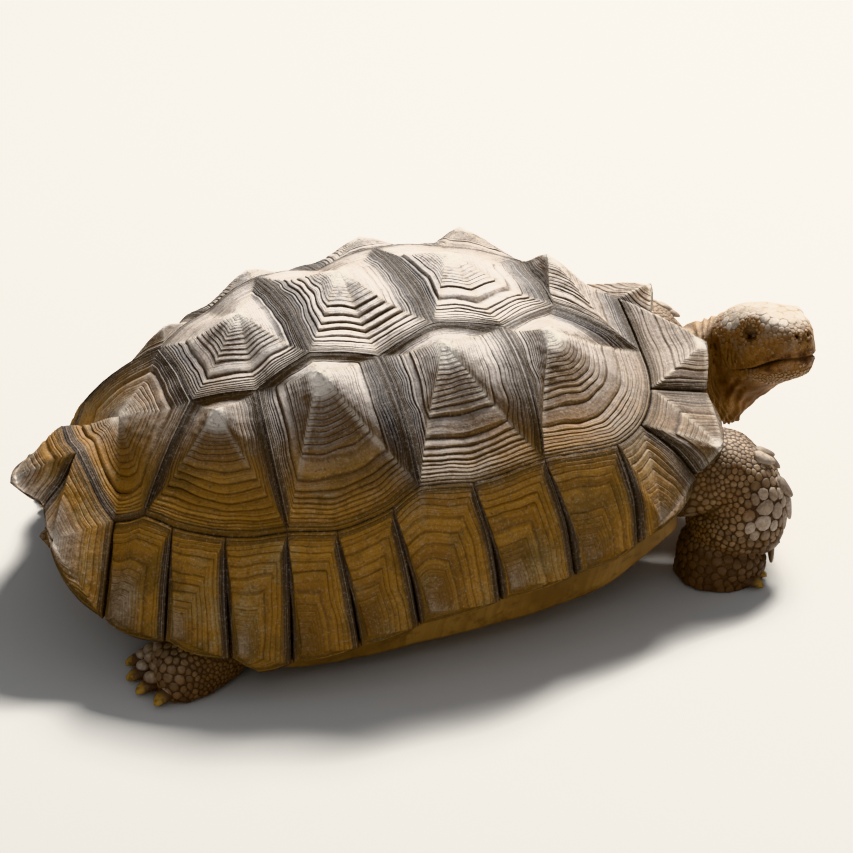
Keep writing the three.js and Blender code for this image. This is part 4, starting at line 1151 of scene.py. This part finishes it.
def spurs(bed, places, length, radius, lift, seed):
    """Pointed scales that lie down the limb and stand off at their tips: ovals along lines that bend off the
    skin, lift * t^1.5, and close in as sqrt(1 - t^2.2)."""
    draw = np.random.default_rng(seed)
    parts = []
    for row, column in places:
        root = bed.at(bed.grid, row, column)
        normal = unit(bed.at(bed.normal, row, column))
        lie = bed.at(bed.grid, row + 1.0, column) - root
        lie = unit(unit(lie - normal * (lie @ normal)) + draw.normal(0, 0.10, 3))
        wide = np.cross(normal, lie)
        grow = draw.uniform(0.8, 1.15)
        t = np.linspace(0, 0.97, 12)
        taper = grow * radius * np.sqrt(np.clip(1.03 - t**2.2, 0, 1)) * (0.6 + 0.4 * ease(0, 0.3, t))
        centre = root + np.outer(grow * length * (t - 0.3), lie) + np.outer(lift * (t**1.5) - 0.8, normal)
        shape = capped(horn_tube(centre, wide, normal, taper, 0.62, 0.35, SPUR_SIDES))
        dome = np.concatenate([np.repeat(0.45 + 0.6 * t, SPUR_SIDES), [0.4, 1.05]])
        spread_out = (shape[0] - root) @ np.stack([wide, lie], 1) / length
        parts.append(Part(shape, one_scale(dome, SPUR_SIZE, draw),
                          bed.unwrapped(row, column) + UNWRAP_SHARE * spread_out))
    return parts


HIND_CLAWS = {"count": 4, "length": 20.0, "radius": 9.0, "middle": (-250, -178, 11), "spread": 30.0,
              "ahead": (-1, -0.1, 0)}
CLAW_FAN, CLAW_ARCH = 0.45, 8.0
UPRIGHT = np.array([0.0, 0.0, 1.0])
# How far ahead of a claw's root each scale of its toe lies, its height and its radius
TOE_SCALES = ((-14.0, 33.0, 8.4), (-5.5, 25.0, 8.8), (3.0, 17.0, 8.2))


def toes(foot):
    """Root and aim of each claw of a foot: they stand in an arch, back by the square of their distance from
    its middle, and fan out."""
    middle, forward = np.array(foot["middle"], float), unit(np.array(foot["ahead"], float))
    across = np.cross(forward, UPRIGHT)
    return [(middle + across * foot["spread"] * share - forward * CLAW_ARCH * share**2,
             unit(forward + across * CLAW_FAN * share)) for share in np.linspace(-1, 1, foot["count"])]


def toe_scales(kind, mirrored, seed):
    """Wide thick scales in a line down each toe, the last of them over the claw's root."""
    draw = np.random.default_rng(seed)
    turn, fall = even_angles(20)[None], np.linspace(0.08, math.pi - 0.08, 14)[:, None]
    parts = []
    for number, (root, aim_of) in enumerate(toes(kind)):
        wide = np.cross(aim_of, UPRIGHT)
        for ahead_by, above, radius in TOE_SCALES:
            radius = radius * draw.uniform(0.9, 1.08)
            middle = root + aim_of * ahead_by + wide * draw.uniform(-1, 1)
            middle[2] = above * (1 - 0.22 * (2 * number / (kind["count"] - 1) - 1) ** 2)
            ball = (np.sin(fall) * np.cos(turn))[..., None] * wide * radius
            ball = ball + (np.sin(fall) * np.sin(turn))[..., None] * aim_of * radius * 0.9
            ball = ball + np.cos(fall)[..., None] * np.array([0, 0, 0.72]) * radius
            dome = np.broadcast_to(0.35 + 0.75 * np.cos(fall), ball.shape[:2]).ravel()
            value = one_scale(np.append(dome, [1.1, 0.0]), TOE_SIZE, draw)
            shape = capped(set_down(middle + ball, mirrored))
            spot = np.array([0.15 + 0.2 * number, 0.97 - 0.01 * ahead_by / 20])
            parts.append(Part(shape, value, spot + 0.0001 * (shape[0] - shape[0].mean(0))[:, :2]))
    return parts


for number, (name, grid) in enumerate(limbs.items()):
    rows, columns = grid.shape[:2]
    z = grid[..., 2]
    front = grid[..., 0] - grid[..., 0].mean(1, keepdims=True)
    outer = np.sign(grid[..., 1]) * (grid[..., 1] - grid[..., 1].mean(1, keepdims=True))
    row = np.arange(rows)[:, None] / (rows - 1)
    if name.startswith("fore"):
        big = bell(front - 10, 20.0) * bell(z - 76, 21.0) * ease(4, 24, outer)
        medium = ease(-14, 16, front) * bell(z - 84, 34.0) * ease(-10, 12, outer)
        spacing = 4.1 + 12.5 * big + 3.6 * medium * (1 - big) + 2.9 * ease(46, 38, z)
        hidden, height = row < 0.24, 0.25 - 0.14 * ease(94, 112, z)
    else:
        spacing = 4.0 + 3.6 * ease(-205, -244, grid[..., 0])
        hidden, height = row < 0.2, 0.27
    bed = Bed(grid, np.where((z < 2.0) | hidden, 0.0, spacing))
    paving = scales(bed, bed.sow(11000, 50 + number), height, 0.04, 60 + number)
    paving.points[:, 2] = np.maximum(paving.points[:, 2], FLOOR_SKIM)
    parts = [paving]
    if name.startswith("fore"):
        # Two staggered rows of them follow the leg's front edge, on its outer side
        places = []
        for i, height_at in enumerate((118, 108, 99, 90, 81, 73, 65, 57, 50, 44)):
            r = int(np.argmin(np.abs(z.mean(1) - height_at) + 1000 * (row[:, 0] < 0.42)))
            turn = np.argsort(-(0.90 * front[r] + (0.62 - 0.30 * (i % 2)) * outer[r]))[0]
            places.append((float(r), float(turn)))
        parts = parts + spurs(bed, places, 24.0, 7.6, 3.6, 90 + number)
    else:
        parts = parts + toe_scales(HIND_CLAWS, name.endswith("left"), 95 + number)
    piece(f"scales_{name}", parts, scale_finish, [name])
tail_bed = Bed(tail_grid, 5.6)
piece("scales_tail", [scales(tail_bed, tail_bed.sow(3000, 71), 0.25, 0.1, 72)], scale_finish,
      ["tail"])

# ---------------------------------------------------------------- claws
# Blunt horny claws, five on a forefoot and four on a hind foot, spread in an arch and turned down to the
# ground; each is a cone bent along its length, worn at the tip, with growth lines round it.
FORE_CLAWS = {"count": 5, "length": 20.0, "radius": 8.0, "middle": (350, -169, 9), "spread": 31.0,
              "ahead": (0.97, -0.22, 0)}
CLAW_HOOK, CLAW_SIDES = 5.0, 20


def claws(kind, shift, mirrored):
    """Cones of oval rings along the aim of each toe."""
    length, radius = kind["length"], kind["radius"]
    parts = []
    for root, aim_of in toes(kind):
        wide = np.cross(aim_of, UPRIGHT)
        root = root + [shift, 0, 0]
        t = np.linspace(-0.4, 0.97, 22)
        taper = radius * np.sqrt(np.maximum(0.012, 1 - np.maximum(t, 0) ** 1.7))
        taper = taper * (1 + 0.03 * np.sin(t * 60) * (t > 0))
        centre = root + aim_of * (length * t)[:, None] - np.outer(CLAW_HOOK * np.maximum(t, 0) ** 2, UPRIGHT)
        grid = set_down(horn_tube(centre, wide, UPRIGHT, taper, 0.8, 0.7, CLAW_SIDES), mirrored)
        value = np.concatenate([np.repeat(t, CLAW_SIDES), [t[0], t[-1]]])
        parts.append(Part(capped(grid), {"tip": value}))
    return parts


claw_finish, at = material("claw")
tip = at.read("tip")
where = at.place()
stripe = at.noise(where, 260.0, 3.0)
colour = at.mix(tip.between(0.45, 1.0), (0.085, 0.052, 0.034), (0.40, 0.235, 0.060)).under(
    (stripe.between(0.48, 0.62) * 0.6, (0.055, 0.034, 0.022)),
    (tip.between(0.16, -0.1) * 0.8, (0.04, 0.025, 0.016)))
at.surface(colour, 0.42 + stripe * 0.2, at.bump(stripe, 0.3, 0.0006))
for name, kind, shift in (("foreleg_right", FORE_CLAWS, 0), ("foreleg_left", FORE_CLAWS, STRIDE),
                          ("hindleg_right", HIND_CLAWS, 0), ("hindleg_left", HIND_CLAWS, 0)):
    piece(f"claws_{name}", claws(kind, shift, name.endswith("left")), claw_finish, [name])

# ---------------------------------------------------------------- plastron and bridges
# The flat belly plates and the bridges that tie them to the marginals, of smooth pale horn. Their packed
# shapes are right but faceted: each is merged, rounded at its edges and left in place.
belly_horn, at = material("belly_horn")
where = at.place()
cloud = at.noise(where, 14.0, 5.0)
drift = at.streaks(where.axis(0) * 60.0 + cloud * 2.2, 1.6, 4.0)
speck = at.noise(where, 60.0, 5.0, 0.65)
colour = at.mix(cloud.between(0.35, 0.65), (0.13, 0.068, 0.020), (0.25, 0.145, 0.055)).under(
    (drift.between(0.55, 0.35) * 0.45, (0.12, 0.062, 0.022)),
    (speck.between(0.52, 0.68) * 0.6, (0.075, 0.042, 0.018)))
at.surface(colour, 0.50 + cloud * 0.25, at.bump(drift + speck, 0.5, 0.0012))


SEAM_NEAR = 10.0                 # a bridge's corner this near to a marginal lies along their seam
SEAM_RISE, SEAM_INSET = 8.0, 3.0
marginal_corners = np.vstack([points_of(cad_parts[name].data.vertices)
                              for name in sorted(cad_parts) if name.startswith("marginal")])


def rounded(node, crease):
    """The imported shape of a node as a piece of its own, merged and smoothed by subdivision. The outer edge of
    a bridge is raised into the marginals, so that no slot shows between them."""
    solid = merged(node)
    for vert in solid.verts if node.startswith("bridge") else ():
        if np.linalg.norm(marginal_corners - np.array(vert.co) / MM, axis=1).min() < SEAM_NEAR:
            vert.co.z += SEAM_RISE * MM
            vert.co.y -= math.copysign(SEAM_INSET * MM, vert.co.y)
    bmesh.ops.dissolve_limit(solid, angle_limit=math.radians(1), verts=solid.verts, edges=solid.edges)
    mesh = bpy.data.meshes.new(f"horn_{node}")
    sharp = [edge.calc_face_angle(0.0) > math.radians(24) for edge in solid.edges]
    solid.to_mesh(mesh)
    solid.free()
    creases = mesh.attributes.new("crease_edge", "FLOAT", "EDGE")
    creases.data.foreach_set("value", np.array(sharp, np.float32) * crease)
    mesh.polygons.foreach_set("use_smooth", np.ones(len(mesh.polygons), bool))
    mesh.materials.append(belly_horn)
    made = bpy.data.objects.new(f"horn_{node}", mesh)
    bpy.context.collection.objects.link(made)
    smoother = made.modifiers.new("rounding", "SUBSURF")
    smoother.levels = smoother.render_levels = 3
    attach(made, "root")
    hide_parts(node)


for name in ("gular", "humeral", "pectoral", "abdominal", "femoral", "anal"):
    rounded(f"plastron_{name}", 0.75)
for side_name in ("right", "left"):
    rounded(f"bridge_{side_name}", 0.7)
